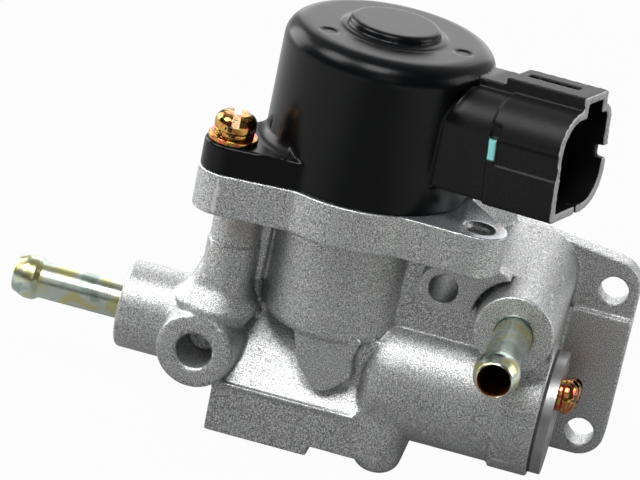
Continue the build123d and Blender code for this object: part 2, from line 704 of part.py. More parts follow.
def plug_section(inset):
    """Keyed outline of the connector: two corners large, one small, one sharp."""
    low_s, high_s = PLUG_FRONT_S + inset, PLUG_BACK_S - inset
    low_h, high_h = PLUG_LOW_H + inset, PLUG_TOP_H - inset
    face = outline((low_s, low_h), (high_s, low_h), (high_s, high_h), (low_s, high_h))
    corners = ((high_s, low_h, PLUG_BIG_R - inset), (low_s, high_h, PLUG_BIG_R - inset),
               (high_s, high_h, PLUG_SMALL_R - inset), (low_s, low_h, PLUG_TINY_R))
    for s, h, radius in corners:
        face = fillet(face.vertices().sort_by_distance((s, h))[0], radius)
    return face


def connector_body():
    """Connector shell from the motor to the mouth, with hood, neck plate and side panel."""
    shell = along_plug(plug_section(NECK_INSET), PLUG_ROOT_A, NECK_END_A)
    shell += along_plug(plug_section(0), NECK_END_A, PLUG_MOUTH_A)
    hood = span(HOOD_FRONT_S, HOOD_BACK_S, PLUG_TOP_H - PLUG_SMALL_R, PLUG_TOP_H + HOOD_H)
    neck = span(HOOD_FRONT_S, HOOD_BACK_S, PLUG_TOP_H - PLUG_SMALL_R, PLUG_TOP_H + NECK_PLATE_H)
    shell += along_plug(hood, HOOD_START_A, PLUG_MOUTH_A)
    shell += along_plug(neck, NECK_PLATE_START_A, HOOD_START_A)
    panel = span(PLUG_FRONT_S, PLUG_FRONT_S + PANEL_DEPTH, PANEL_LOW_H, PANEL_TOP_H)
    key = span(PLUG_FRONT_S, PLUG_FRONT_S + KEY_DEPTH, PANEL_TOP_H, PANEL_TOP_H + KEY_H)
    shell -= along_plug(key, PANEL_START_A - KEY_W, PANEL_START_A + KEY_LAP)
    return shell - along_plug(panel, PANEL_START_A, PLUG_MOUTH_A)


def mouth_notches():
    """Cuts in the mouth's rim, one in the far side and a slit in the floor."""
    far = span(PLUG_BACK_S - 2 * PLUG_WALL, PLUG_BACK_S + PLUG_WALL, NOTCH_H, NOTCH_H + NOTCH_W)
    slit = span(NOTCH_S, NOTCH_S + NOTCH_SLIT, PLUG_LOW_H - PLUG_WALL, PLUG_LOW_H + 2 * PLUG_WALL)
    start = PLUG_MOUTH_A - NOTCH_DEPTH
    return along_plug(far, start, PLUG_MOUTH_A) + along_plug(slit, start, PLUG_MOUTH_A)


def connector_socket():
    """Space inside the connector, the hood's latch way and the slot above it."""
    floor = PLUG_MOUTH_A - SOCKET_DEPTH
    space = along_plug(plug_section(PLUG_WALL), floor, PLUG_MOUTH_A)
    latch = span(HOOD_FRONT_S + PLUG_WALL, HOOD_BACK_S - PLUG_WALL,
                 PLUG_TOP_H - 2 * PLUG_WALL, PLUG_TOP_H + HOOD_H - PLUG_WALL)
    slot = span(SLOT_S - SLOT_W / 2, SLOT_S + SLOT_W / 2, PLUG_TOP_H, PLUG_TOP_H + HOOD_H)
    return space + along_plug(latch, HOOD_START_A + PLUG_WALL, PLUG_MOUTH_A) + along_plug(
        slot, SLOT_START_A, SLOT_END_A)


def pin_centres():
    """Places of the terminal pins across the connector, two rows of three."""
    mid_s = (PLUG_FRONT_S + PLUG_BACK_S) / 2
    mid_h = (PLUG_LOW_H + PLUG_TOP_H) / 2
    columns = PIN_COUNT // 2
    return [(mid_s + (column - (columns - 1) / 2) * PIN_PITCH_S, mid_h + row * PIN_PITCH_H / 2)
            for row in (-1, 1) for column in range(columns)]


def terminal_pin(index, grow=0.0):
    """One flat pin, embedded in the housing and free in the socket."""
    s, h = pin_centres()[index]
    section = Pos(s, h) * Rectangle(PIN_W + 2 * grow, PIN_T + 2 * grow)
    return along_plug(section, PIN_START_A - grow, PIN_TIP_A)


def motor_crown():
    """Drum of the housing with its rounded shoulder and raised centre."""
    drum = along_z(Circle(MOTOR_R), 0, MOTOR_H)
    drum = fillet(drum.edges().group_by(Axis.Z)[-1], MOTOR_SHOULDER_R)
    step = along_z(Circle(CROWN_STEP_R), MOTOR_H, MOTOR_H + CROWN_STEP_H)
    disc = along_z(Circle(CROWN_R), MOTOR_H, MOTOR_H + CROWN_H)
    disc = fillet(disc.edges().group_by(Axis.Z)[-1], CROWN_EDGE)
    for angle in MARK_ANGLES:
        drum -= along_z(Pos(polar(MARK_PITCH_R, angle)) * Circle(MARK_R), MOTOR_H - MARK_DEPTH, MOTOR_H)
    return drum + step + disc


def lobe_gussets():
    """Flared webs between the drum and its ears, scooped out round the screw."""
    cone = Pos(0, 0, BASE_T) * Cone(GUSSET_R, GUSSET_TIP_R, GUSSET_H, align=CENTRED_ON_BASE)
    webs = [Pos(polar(MOTOR_R - GUSSET_INSET, angle)) * cone for angle in MOTOR_LOBES]
    pockets = at_lobes(rod(POCKET_R, BASE_T, BASE_T + GUSSET_H))
    return [web - pocket for web, pocket in zip(webs, pockets)]


def motor_housing():
    """Black moulding: drum, base with two ears, and the connector."""
    base = along_z(lobed_disc(MOTOR_R, MOTOR_LOBES, BASE_TIP_R, BASE_ROOT_R), 0, BASE_T)
    base = fillet(base.edges().group_by(Axis.Z)[-1], BASE_EDGE)
    shell = base + motor_crown() + lobe_gussets() + connector_body()
    for clearance in at_lobes(rod(WASHER_R + FREE, BASE_T, MOTOR_H)):
        shell -= clearance
    space = along_z(Circle(MOTOR_BORE_R), 0, MOTOR_CEILING)
    space -= tube(BUSH_SEAT_R, BUSH_R + PRESSED, upper_bush_low(), MOTOR_CEILING)
    sleeve_r = SCREW_R + CLEAR_HOLE + SLEEVE_WALL + PRESSED
    for hole in at_lobes(rod(sleeve_r, 0, BASE_T)):
        shell -= hole
    for index in range(PIN_COUNT):
        shell -= terminal_pin(index, PRESSED)
    return shell - space - connector_socket() - mouth_notches()


def stator_low(half):
    """Bottom height of a stator half, 0 below and 1 above."""
    return GUIDE_T + PRESSED + half * (STATOR_H + PRESSED)


def rotor_top():
    """Top of the rotor's thick part."""
    return stator_low(1) + STATOR_H - FREE


def upper_bush_low():
    """Underside of the upper bush and of its seat."""
    return rotor_top() + FREE


def guide_plate():
    """Plate under the stator with the spigot, bush seat and flat-sided shaft guide."""
    spigot_r = BORE_R - GUIDE_FIT
    groove_r = spigot_r - SEAL_GROOVE_DEPTH
    groove_low = SEAL_GROOVE_TOP_Z - SEAL_GROOVE_W
    plate = turned((0, -GUIDE_SPIGOT_L), (spigot_r, -GUIDE_SPIGOT_L), (spigot_r, groove_low),
                   (groove_r, groove_low), (groove_r, SEAL_GROOVE_TOP_Z), (spigot_r, SEAL_GROOVE_TOP_Z),
                   (spigot_r, 0), (MOTOR_BORE_R - STATOR_FIT, 0), (MOTOR_BORE_R - STATOR_FIT, GUIDE_T),
                   (0, GUIDE_T))
    plate -= along_z(Circle(BUSH_R + PRESSED), GUIDE_FLOOR_Z, GUIDE_T)
    return plate - along_z(shaft_section(RUNNING), -GUIDE_SPIGOT_L, GUIDE_FLOOR_Z)


def motor_seal_ring():
    """Rubber ring in the groove of the spigot."""
    major = BORE_R - GUIDE_FIT - SEAL_GROOVE_DEPTH + SEAL_WIRE_R
    return Pos(0, 0, SEAL_GROOVE_TOP_Z - SEAL_GROOVE_W / 2) * Torus(major, SEAL_WIRE_R)


def pole_fingers(root_z, direction, turn):
    """Ring of tapered pole fingers that stand on a stator sheet."""
    tip_z = root_z + direction * POLE_L
    reach = POLE_R + 2 * POLE_T
    face = outline((-POLE_ROOT_W / 2, root_z), (POLE_ROOT_W / 2, root_z),
                   (POLE_TIP_W / 2, tip_z), (-POLE_TIP_W / 2, tip_z))
    finger = along_y(face, -reach, 0)
    ring = tube(POLE_R + POLE_T, POLE_R, min(root_z, tip_z), max(root_z, tip_z))
    step = 360.0 / POLE_COUNT
    return [ring & (Rot(0, 0, turn + step * index) * finger) for index in range(POLE_COUNT)]


def stator_cup(half):
    """Steel cup of one stator half with its upward fingers."""
    low = stator_low(half)
    outer = MOTOR_BORE_R - STATOR_FIT
    cup = tube(outer, POLE_R, low, low + STATOR_SHEET)
    cup += tube(outer, outer - STATOR_SHEET, low, low + STATOR_H - STATOR_SHEET)
    return cup + pole_fingers(low + STATOR_SHEET, 1, 0)


def stator_plate(half):
    """Steel lid of one stator half with its downward fingers."""
    top = stator_low(half) + STATOR_H
    lid = tube(MOTOR_BORE_R - STATOR_FIT, POLE_R, top - STATOR_SHEET, top)
    return lid + pole_fingers(top - STATOR_SHEET, -1, 180.0 / POLE_COUNT)


def bobbin(half):
    """Plastic spool inside a stator half."""
    low = stator_low(half) + STATOR_SHEET + PRESSED
    high = stator_low(half) + STATOR_H - STATOR_SHEET - PRESSED
    inner = POLE_R + POLE_T + PRESSED
    barrel = inner + BOBBIN_WALL
    return turned((inner, low), (BOBBIN_FLANGE_R, low), (BOBBIN_FLANGE_R, low + BOBBIN_WALL),
                  (barrel, low + BOBBIN_WALL), (barrel, high - BOBBIN_WALL),
                  (BOBBIN_FLANGE_R, high - BOBBIN_WALL), (BOBBIN_FLANGE_R, high), (inner, high))


def coil(half):
    """Copper winding on a spool."""
    edge = STATOR_SHEET + BOBBIN_WALL + 2 * PRESSED
    low = stator_low(half) + edge
    high = stator_low(half) + STATOR_H - edge
    return tube(COIL_R, POLE_R + POLE_T + BOBBIN_WALL + 2 * PRESSED, low, high)


def bush(low, high):
    """Plain bearing bush of the rotor."""
    return tube(BUSH_R, JOURNAL_R + RUNNING, low, high)


def rotor_hub():
    """Rotor core: two journals and the nut that drives the shaft."""
    low = GUIDE_T + FREE
    high = rotor_top()
    bore = SHAFT_R + RUNNING
    return turned((bore, GUIDE_FLOOR_Z + FREE), (JOURNAL_R, GUIDE_FLOOR_Z + FREE), (JOURNAL_R, low),
                  (HUB_R, low), (HUB_R, high), (JOURNAL_R, high), (JOURNAL_R, MOTOR_CEILING - FREE),
                  (bore, MOTOR_CEILING - FREE))


def rotor_magnet():
    """Ring magnet on the rotor core."""
    middle = (GUIDE_T + FREE + rotor_top()) / 2
    return tube(MAGNET_R, HUB_R + PRESSED, middle - MAGNET_L / 2, middle + MAGNET_L / 2)


def shaft_section(grow):
    """Round section with one flat, which keeps the shaft from turning."""
    keep = Pos((SHAFT_FLAT + grow - SHAFT_R - grow) / 2, 0) * Rectangle(
        SHAFT_FLAT + SHAFT_R + 2 * grow, 2 * (SHAFT_R + grow))
    return Circle(SHAFT_R + grow) & keep


def valve_shaft():
    """Lead screw shaft: flat-sided below, round where the rotor's nut drives it."""
    low = CONE_TOP_Z - CONE_L / 2
    return along_z(shaft_section(0), low, SHAFT_FLAT_TOP_Z) + along_z(
        Circle(SHAFT_R), SHAFT_FLAT_TOP_Z, SHAFT_TOP_Z)


def valve_plug():
    """Cone that closes the seat, pressed on the shaft."""
    flange_top = CONE_TOP_Z + PLUG_FLANGE_T
    hub_top = flange_top + PLUG_HUB_L
    cone = turned((0, CONE_TOP_Z - CONE_L), (CONE_TIP_R, CONE_TOP_Z - CONE_L), (CONE_TOP_R, CONE_TOP_Z),
                  (CONE_TOP_R, flange_top), (PLUG_HUB_R, flange_top), (PLUG_HUB_R, hub_top), (0, hub_top))
    return cone - along_z(shaft_section(PRESSED), CONE_TOP_Z - CONE_L / 2 - PRESSED, hub_top)


def valve_spring():
    """Coil spring between the guide plate and the plug."""
    low = CONE_TOP_Z + PLUG_FLANGE_T + SPRING_WIRE_R + PRESSED
    high = -GUIDE_SPIGOT_L - SPRING_WIRE_R - PRESSED
    path = Pos(0, 0, low) * Helix((high - low) / SPRING_TURNS, high - low, SPRING_R)
    wire = Plane(origin=path @ 0, z_dir=path % 0) * Circle(SPRING_WIRE_R)
    return sweep(wire, path)


def pieces():
    """Every piece by its node name, as lists where one node holds a set."""
    made = {
        "valve_body": valve_body(), "motor_housing": motor_housing(), "lobe_sleeves": lobe_sleeves(),
        "motor_screws": motor_screws(), "motor_flat_washers": motor_flat_washers(),
        "motor_spring_washers": motor_spring_washers(), "guide_plate": guide_plate(),
        "motor_seal_ring": motor_seal_ring(), "lower_bush": bush(GUIDE_FLOOR_Z, GUIDE_T),
        "upper_bush": bush(upper_bush_low(), MOTOR_CEILING - PRESSED),
        "rotor_hub": rotor_hub(), "rotor_magnet": rotor_magnet(), "valve_shaft": valve_shaft(),
        "valve_plug": valve_plug(), "valve_spring": valve_spring(), "left_hose_pipe": left_hose_pipe(),
        "front_hose_pipe": front_hose_pipe(), "end_cover": end_cover(), "cover_gasket": cover_gasket(),
        "cover_screws": cover_screws(), "cover_spring_washers": cover_spring_washers(),
    }
    for half, name in enumerate(("lower", "upper")):
        made[f"{name}_stator_cup"] = stator_cup(half)
        made[f"{name}_stator_plate"] = stator_plate(half)
        made[f"{name}_bobbin"] = bobbin(half)
        made[f"{name}_coil"] = coil(half)
    for index in range(PIN_COUNT):
        made[f"terminal_pin_{index + 1}"] = terminal_pin(index)
    return made


def write_parts():
    """Move each piece to the mounting frame and write it."""
    os.makedirs("parts", exist_ok=True)
    for name, piece in pieces().items():
        members = piece if isinstance(piece, list) else [piece]
        solids = [TO_MOUNT * solid for member in members for solid in member.solids()]
        whole = solids[0] if len(solids) == 1 else Compound(children=solids)
        whole.label = name
        export_step(whole, f"parts/{name}.step")


write_parts()
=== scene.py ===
"""Looks of the idle air control valve: finishes, rounded mouldings and turned pieces.

Lengths are metres in the finishes and the studio and millimetres elsewhere. Points that spot()
places are millimetres of the drawing.
"""

import json
import logging
import math
from dataclasses import dataclass
from enum import Enum
from typing import Callable, Iterable, Sequence

import bmesh
import bpy
from mathutils import Matrix, Vector

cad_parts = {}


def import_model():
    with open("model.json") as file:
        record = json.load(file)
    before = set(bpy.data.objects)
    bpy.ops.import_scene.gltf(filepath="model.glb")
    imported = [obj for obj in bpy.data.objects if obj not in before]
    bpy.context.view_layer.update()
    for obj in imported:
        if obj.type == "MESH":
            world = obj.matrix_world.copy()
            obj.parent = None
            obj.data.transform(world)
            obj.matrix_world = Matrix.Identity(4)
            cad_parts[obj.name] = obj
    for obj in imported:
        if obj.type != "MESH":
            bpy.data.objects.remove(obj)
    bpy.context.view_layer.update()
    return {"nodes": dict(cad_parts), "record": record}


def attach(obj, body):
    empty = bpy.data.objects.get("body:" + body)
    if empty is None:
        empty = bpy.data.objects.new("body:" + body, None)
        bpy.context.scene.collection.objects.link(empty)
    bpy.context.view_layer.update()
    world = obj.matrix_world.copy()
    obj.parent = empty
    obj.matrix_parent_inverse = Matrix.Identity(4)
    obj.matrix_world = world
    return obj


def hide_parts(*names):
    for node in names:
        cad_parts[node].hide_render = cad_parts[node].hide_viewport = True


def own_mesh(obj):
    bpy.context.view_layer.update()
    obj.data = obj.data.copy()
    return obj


LOG = logging.getLogger("valve")
MM = 0.001
DRAWING_ORIGIN = Vector((-56.0, -22.5, 35.4))
HOUSING_BODY = "body"
FULL_TURN = 2 * math.pi
CENTRE = (0.0, 0.0, 0.0)
UP = Vector((0.0, 0.0, 1.0))
MERGE = 1e-7
CAD_MERGE = 2e-6

Colour = tuple[float, float, float]
Point = tuple[float, float, float]
Pair = tuple[float, float]
Pairs = tuple[Pair, ...]
Balls = tuple[tuple[Point, float], ...]
Shape = bmesh.types.BMesh
Mesh = bpy.types.Mesh
Thing = bpy.types.Object
Node = bpy.types.Node
Socket = bpy.types.NodeSocket


def spot(x: float, y: float, z: float) -> Vector:
    """Place a point that the drawing gives from the motor axis and the deck.

    Args:
        x: Millimetres to the right of the motor axis.
        y: Millimetres behind the motor axis.
        z: Millimetres above the deck.

    Returns:
        The point in the frame's metres.
    """
    return (DRAWING_ORIGIN + Vector((x, y, z))) * MM


def on_circle(radius: float, angles: Iterable[float]) -> list[Pair]:
    """Points on a circle at some angles in degrees."""
    turns = [math.radians(angle) for angle in angles]
    return [(radius * math.cos(turn), radius * math.sin(turn)) for turn in turns]


def rgba(colour: Colour) -> tuple[float, float, float, float]:
    """Colour with full opacity."""
    return (*colour, 1.0)


class Slot(Enum):
    """Material slots of the record."""

    CAST = "cast_aluminium"
    BLACK = "black_moulding"
    INNER = "inner_moulding"
    PLUG = "plug_moulding"
    SCREW = "zinc_screw"
    PIPE = "zinc_pipe"
    STEEL = "steel"
    COVER = "cover_plate"
    COPPER = "copper"
    BRONZE = "bronze"
    FERRITE = "ferrite"
    TINNED = "tinned_brass"
    RUBBER = "rubber"
    GASKET = "gasket"


class Kind(Enum):
    """Socket types of the shared node groups."""

    VALUE = "NodeSocketFloat"
    VECTOR = "NodeSocketVector"
    COLOUR = "NodeSocketColor"


@dataclass
class Graph:
    """Short calls that place and join the nodes of one shader tree."""

    tree: bpy.types.NodeTree
    mix_sockets = (0, 6, 7)
    mix_result = 2

    @classmethod
    def of(cls, owner: bpy.types.Material | bpy.types.World) -> "Graph":
        """Empty graph of a material or a world."""
        owner.use_nodes = True
        owner.node_tree.nodes.clear()
        return cls(owner.node_tree)

    def add(self, kind: str, inputs: dict | None = None, **settings: object) -> Node:
        """Place a node.

        Args:
            kind: Node type name.
            inputs: Sockets to link or values to set, by socket name or index.
            settings: Node properties to set.

        Returns:
            The new node.
        """
        node = self.tree.nodes.new(kind)
        for name, value in settings.items():
            setattr(node, name, value)
        for name, value in (inputs or {}).items():
            if isinstance(value, Socket):
                self.link(value, node, name)
            else:
                node.inputs[name].default_value = value
        return node

    def link(self, value: Socket, node: Node, name: str | int) -> None:
        """Join a value to one input of a node."""
        self.tree.links.new(value, node.inputs[name])

    def maths(self, operation: str, *values: Socket | float) -> Socket:
        """Join values with one arithmetic step and return its result."""
        node = self.add("ShaderNodeMath", dict(enumerate(values)), operation=operation)
        return node.outputs[0]

    def product(self, first: Socket, *others: Socket | float) -> Socket:
        """Multiply masks or values with each other."""
        for other in others:
            first = self.maths("MULTIPLY", first, other)
        return first

    def sloped(self, value: Socket, slope: float, base: Socket | float) -> Socket:
        """Value times a slope, on top of a base."""
        return self.maths("MULTIPLY_ADD", value, slope, base)

    def between(self, value: Socket, limits: Pair) -> Socket:
        """Turn a value into a soft mask that rises from the first limit to the second."""
        inputs = {"Value": value, "From Min": limits[0], "From Max": limits[1]}
        return self.add("ShaderNodeMapRange", inputs, interpolation_type="SMOOTHSTEP").outputs[0]

    def band(self, value: Socket, ends: Pair, soft: float) -> Socket:
        """Soft mask of the values between two ends."""
        low, high = ends
        return self.product(self.between(value, (low, low + soft)),
                            self.between(value, (high, high - soft)))

    def mix(self, factor: Socket, low: Socket | tuple, high: Socket | tuple) -> Socket:
        """Blend two colours by a factor."""
        inputs = dict(zip(self.mix_sockets, (factor, low, high)))
        return self.add("ShaderNodeMix", inputs, data_type="RGBA").outputs[self.mix_result]

    def noise(self, vector: Socket, size: float) -> Socket:
        """Noise whose lumps are about the given size."""
        node = self.add("ShaderNodeTexNoise", {"Vector": vector, "Scale": 1.0 / size})
        return node.outputs["Fac"]

    def vector(self, operation: str, first: Socket, second: Vector) -> Node:
        """Place one vector step between a vector and a fixed one."""
        return self.add("ShaderNodeVectorMath", {0: first, 1: second}, operation=operation)

    def distance(self, vector: Socket, centre: Vector) -> Socket:
        """Distance from a point."""
        return self.vector("DISTANCE", vector, centre).outputs["Value"]

    def along(self, vector: Socket, origin: Vector, direction: Vector) -> Socket:
        """Distance from a point along a direction."""
        moved = self.vector("SUBTRACT", vector, origin).outputs[0]
        return self.vector("DOT_PRODUCT", moved, direction).outputs["Value"]


class GroupBuilder:
    """Effects that several finishes share, each built once."""

    fine_detail = 3.0
    patch_ratio = 14.0
    pit_share = 0.4
    speckle_limits = (0.40, 0.62)
    patch_limits = (0.32, 0.68)
    drift_distortion = 0.6
    second_tint = (0.36, 0.46)
    third_tint = (0.48, 0.58)

    @staticmethod
    def start(name: str, inputs: dict[str, Kind],
              outputs: dict[str, Kind]) -> tuple[Graph, Node, Node]:
        """Open a new node group with named sockets.

        Args:
            name: Name of the group.
            inputs: Socket types of its inputs by name.
            outputs: Socket types of its outputs by name.

        Returns:
            The group's graph, its input node and its output node.
        """
        tree = bpy.data.node_groups.new(name, "ShaderNodeTree")
        for way, sockets in (("INPUT", inputs), ("OUTPUT", outputs)):
            for label, kind in sockets.items():
                tree.interface.new_socket(name=label, in_out=way, socket_type=kind.value)
        graph = Graph(tree)
        return graph, graph.add("NodeGroupInput"), graph.add("NodeGroupOutput")

    @classmethod
    def grain(cls) -> bpy.types.NodeTree:
        """Fine grain of a moulded or cast skin: a height, a speckle and a slow patchiness."""
        name = "skin_grain"
        if name in bpy.data.node_groups:
            return bpy.data.node_groups[name]
        graph, given, result = cls.start(
            name, {"Vector": Kind.VECTOR, "Size": Kind.VALUE},
            {"Height": Kind.VALUE, "Speckle": Kind.VALUE, "Patches": Kind.VALUE})
        place = given.outputs["Vector"]
        scale = graph.maths("DIVIDE", 1.0, given.outputs["Size"])
        wide = graph.maths("DIVIDE", scale, cls.patch_ratio)
        fine = graph.add("ShaderNodeTexNoise",
                         {"Vector": place, "Scale": scale, "Detail": cls.fine_detail})
        coarse = graph.add("ShaderNodeTexNoise", {"Vector": place, "Scale": wide})
        pits = graph.add("ShaderNodeTexVoronoi", {"Vector": place, "Scale": scale})
        fine, coarse = fine.outputs["Fac"], coarse.outputs["Fac"]
        graph.link(graph.sloped(pits.outputs["Distance"], cls.pit_share, fine), result, "Height")
        graph.link(graph.between(fine, cls.speckle_limits), result, "Speckle")
        graph.link(graph.between(coarse, cls.patch_limits), result, "Patches")
        return graph.tree

    @classmethod
    def passivate(cls) -> bpy.types.NodeTree:
        """Drifting rainbow colours of a passivated zinc coat, between three given tints."""
        name = "zinc_tints"
        if name in bpy.data.node_groups:
            return bpy.data.node_groups[name]
        graph, given, result = cls.start(
            name, {"Vector": Kind.VECTOR, "Size": Kind.VALUE, "First": Kind.COLOUR,
                   "Second": Kind.COLOUR, "Third": Kind.COLOUR}, {"Color": Kind.COLOUR})
        scale = graph.maths("DIVIDE", 1.0, given.outputs["Size"])
        drift = graph.add("ShaderNodeTexNoise",
                          {"Vector": given.outputs["Vector"], "Scale": scale,
                           "Detail": cls.fine_detail, "Distortion": cls.drift_distortion})
        drift = drift.outputs["Fac"]
        tint = graph.mix(graph.between(drift, cls.second_tint),
                         given.outputs["First"], given.outputs["Second"])
        tint = graph.mix(graph.between(drift, cls.third_tint), tint, given.outputs["Third"])
        graph.link(tint, result, "Color")
        return graph.tree


class Finish:
    """Base of the finishes: opens a material and hands its nodes to the finish."""

    def material(self, slot: Slot) -> bpy.types.Material:
        """Build the material of a slot once and return it."""
        label = slot.value + "_finish"
        if label in bpy.data.materials:
            return bpy.data.materials[label]
        made = bpy.data.materials.new(label)
        graph = Graph.of(made)
        shader = graph.add("ShaderNodeBsdfPrincipled")
        graph.add("ShaderNodeOutputMaterial", {"Surface": shader.outputs[0]})
        place = graph.add("ShaderNodeTexCoord").outputs["Object"]
        self.shade(graph, shader, place)
        return made

    def shade(self, graph: Graph, shader: Node, place: Socket) -> None:
        """Fill the shader's sockets; each finish does it its own way."""
        raise NotImplementedError

    @staticmethod
    def bump(graph: Graph, shader: Node, height: Socket, depth: float, strength: float) -> None:
        """Raise the surface by a height."""
        inputs = {"Height": height, "Distance": depth, "Strength": strength}
        graph.link(graph.add("ShaderNodeBump", inputs).outputs[0], shader, "Normal")

    @staticmethod
    def grain(graph: Graph, place: Socket, size: float) -> Node:
        """Place the shared grain at a size."""
        return graph.add("ShaderNodeGroup", {"Vector": place, "Size": size},
                         node_tree=GroupBuilder.grain())


@dataclass(frozen=True)
class CastSkin(Finish):
    """Bare die-cast aluminium with the machined deck left bright."""

    tone: Colour = (0.95, 0.95, 0.94)
    speck: Colour = (0.20, 0.21, 0.21)
    # painted shade: creases and hollows, found by low pointiness, are darkened towards this grey
    painted_crease_shade: Colour = (0.10, 0.10, 0.10)
    # edge wear and painted highlight: ridges, found by high pointiness, are lightened towards this
    # tone
    wear_and_highlight: Colour = (0.96, 0.96, 0.95)
    machined: Colour = (0.56, 0.59, 0.62)
    # painted shadow: a brownish darkening round a spot below the deck at the left front, fading
    # out over a few millimetres
    painted_shadow: Colour = (0.33, 0.28, 0.22)
    grain_size: float = 0.00021
    patch_share: float = 0.18
    painted_shadow_place: Point = (-21.0, -12.0, -12.5)
    painted_shadow_reach: Pair = (0.0065, 0.001)
    painted_shadow_share: float = 0.55
    hollow_limits: Pair = (0.49, 0.44)
    hollow_share: float = 0.8
    ridge_limits: Pair = (0.525, 0.58)
    ridge_share: float = 0.7
    deck_heights: Pair = (-0.0003, -0.0001)
    deck_facing: Pair = (0.8, 0.98)
    roughness: float = 0.48
    speckle_rough: float = -0.12
    deck_rough: float = -0.16
    metallic: float = 0.84
    bump_depth: float = 0.0001
    bump_strength: float = 0.6

    def shade(self, graph: Graph, shader: Node, place: Socket) -> None:
        """Grey skin with grain, painted shade in creases, a brownish painted shadow at the left
        front under the deck, wear and painted highlight on ridges, smoother on the deck.
        """
        grain = self.grain(graph, place, self.grain_size)
        surface = graph.add("ShaderNodeNewGeometry")
        sharpness = surface.outputs["Pointiness"]
        # distance from the centre of the brownish painted shadow
        from_painted_shadow = graph.distance(place, spot(*self.painted_shadow_place))
        on_deck = self.on_deck(graph, place, surface.outputs["Normal"])
        skin = graph.mix(grain.outputs["Speckle"], rgba(self.speck), rgba(self.tone))
        for mask, share, colour in (
                (grain.outputs["Patches"], self.patch_share, self.machined),
                # brownish painted shadow below the deck at the left front
                (graph.between(from_painted_shadow, self.painted_shadow_reach), self.painted_shadow_share, self.painted_shadow),
                # painted shade in the creases and hollows
                (graph.between(sharpness, self.hollow_limits), self.hollow_share, self.painted_crease_shade),
                # edge wear and painted highlight on the ridges
                (graph.between(sharpness, self.ridge_limits), self.ridge_share, self.wear_and_highlight)):
            skin = graph.mix(graph.product(mask, share), skin, rgba(colour))
        graph.link(graph.mix(on_deck, skin, rgba(self.machined)), shader, "Base Color")
        rough = graph.sloped(grain.outputs["Speckle"], self.speckle_rough, self.roughness)
        graph.link(graph.sloped(on_deck, self.deck_rough, rough), shader, "Roughness")
        shader.inputs["Metallic"].default_value = self.metallic
        height = graph.product(grain.outputs["Height"], graph.maths("SUBTRACT", 1.0, on_deck))
        self.bump(graph, shader, height, self.bump_depth, self.bump_strength)

    def on_deck(self, graph: Graph, place: Socket, normal: Socket) -> Socket:
        """Mask of the machined deck."""
        height = graph.along(place, spot(0, 0, 0), UP)
        facing = graph.add("ShaderNodeSeparateXYZ", {0: normal}).outputs["Z"]
        return graph.product(graph.between(height, self.deck_heights),
                             graph.between(facing, self.deck_facing))


@dataclass(frozen=True)
class BlackMoulding(Finish):
    """Black plastic, glossy on the drum and satin on the connector, whose rim is lightened as wear
    and painted highlight.
    """

    tone: Colour = (0.0022, 0.0026, 0.0032)
    satin: Colour = (0.0036, 0.0038, 0.0042)
    speck: Colour = (0.09, 0.09, 0.09)
    # wear and painted highlight: pale grey put on the connector's rim
    wear_and_highlight: Colour = (0.55, 0.55, 0.55)
    mark: Colour = (0.30, 0.78, 0.76)
    plug_angle: float = -21.0
    plug_tilt: float = 6.0
    plug_reach: Pair = (0.0245, 0.0275)
    rim_reach: Pair = (0.0480, 0.0488)
    rim_facing: Pair = (0.2, 0.6)
    rub_size: float = 0.0016
    rub_limits: Pair = (0.1, 0.5)
    grain_size: float = 0.00030
    speck_share: float = 0.06
    mark_reach: Pair = (0.0333, 0.0352)
    mark_reach_soft: float = 0.0003
    mark_height: Pair = (0.0136, 0.0183)
    mark_height_soft: float = 0.0005
    mark_side: Pair = (-0.0084, -0.0087)
    roughness: float = 0.23
    plug_rough: float = 0.17
    rub_rough: float = 0.05
    drum_bump: float = 0.12
    plug_bump: float = 0.8
    bump_depth: float = 0.00006
    bump_strength: float = 0.35
    specular: float = 0.19

    def plug_axes(self) -> tuple[Vector, Vector, Vector]:
        """Directions along, across and up the connector."""
        turn, tilt = math.radians(self.plug_angle), math.radians(self.plug_tilt)
        level = math.cos(tilt)
        along = Vector((level * math.cos(turn), level * math.sin(turn), math.sin(tilt)))
        across = Vector((-math.sin(turn), math.cos(turn), 0.0))
        return along, across, along.cross(across)

    def shade(self, graph: Graph, shader: Node, place: Socket) -> None:
        """Gloss drum, satin grained connector, a pale rim at the mouth as wear and painted
        highlight, and a paint mark.
        """
        axes = self.plug_axes()
        reach, side, height = (graph.along(place, spot(0, 0, 0), axis) for axis in axes)
        normal = graph.add("ShaderNodeNewGeometry").outputs["Normal"]
        facing = graph.along(normal, Vector(CENTRE), axes[0])
        on_plug = graph.between(reach, self.plug_reach)
        grain = self.grain(graph, place, self.grain_size)
        rub = graph.noise(place, self.rub_size)
        speck = graph.product(on_plug, grain.outputs["Speckle"], self.speck_share)
        # wear and painted highlight: the outward face of the mouth's rim, patchy by the rub noise,
        # turns pale grey
        rim = graph.product(graph.between(reach, self.rim_reach),
                            graph.between(rub, self.rub_limits),
                            graph.between(facing, self.rim_facing))
        paint = graph.product(graph.band(reach, self.mark_reach, self.mark_reach_soft),
                              graph.band(height, self.mark_height, self.mark_height_soft),
                              graph.between(side, self.mark_side))
        colour = rgba(self.tone)
        for mask, layer in ((on_plug, self.satin), (speck, self.speck), (rim, self.wear_and_highlight),
                            (paint, self.mark)):
            colour = graph.mix(mask, colour, rgba(layer))
        graph.link(colour, shader, "Base Color")
        rough = graph.sloped(on_plug, self.plug_rough, self.roughness)
        graph.link(graph.sloped(rub, self.rub_rough, rough), shader, "Roughness")
        bumps = graph.product(grain.outputs["Height"],
                              graph.sloped(on_plug, self.plug_bump, self.drum_bump))
        self.bump(graph, shader, bumps, self.bump_depth, self.bump_strength)
        shader.inputs["Specular IOR Level"].default_value = self.specular


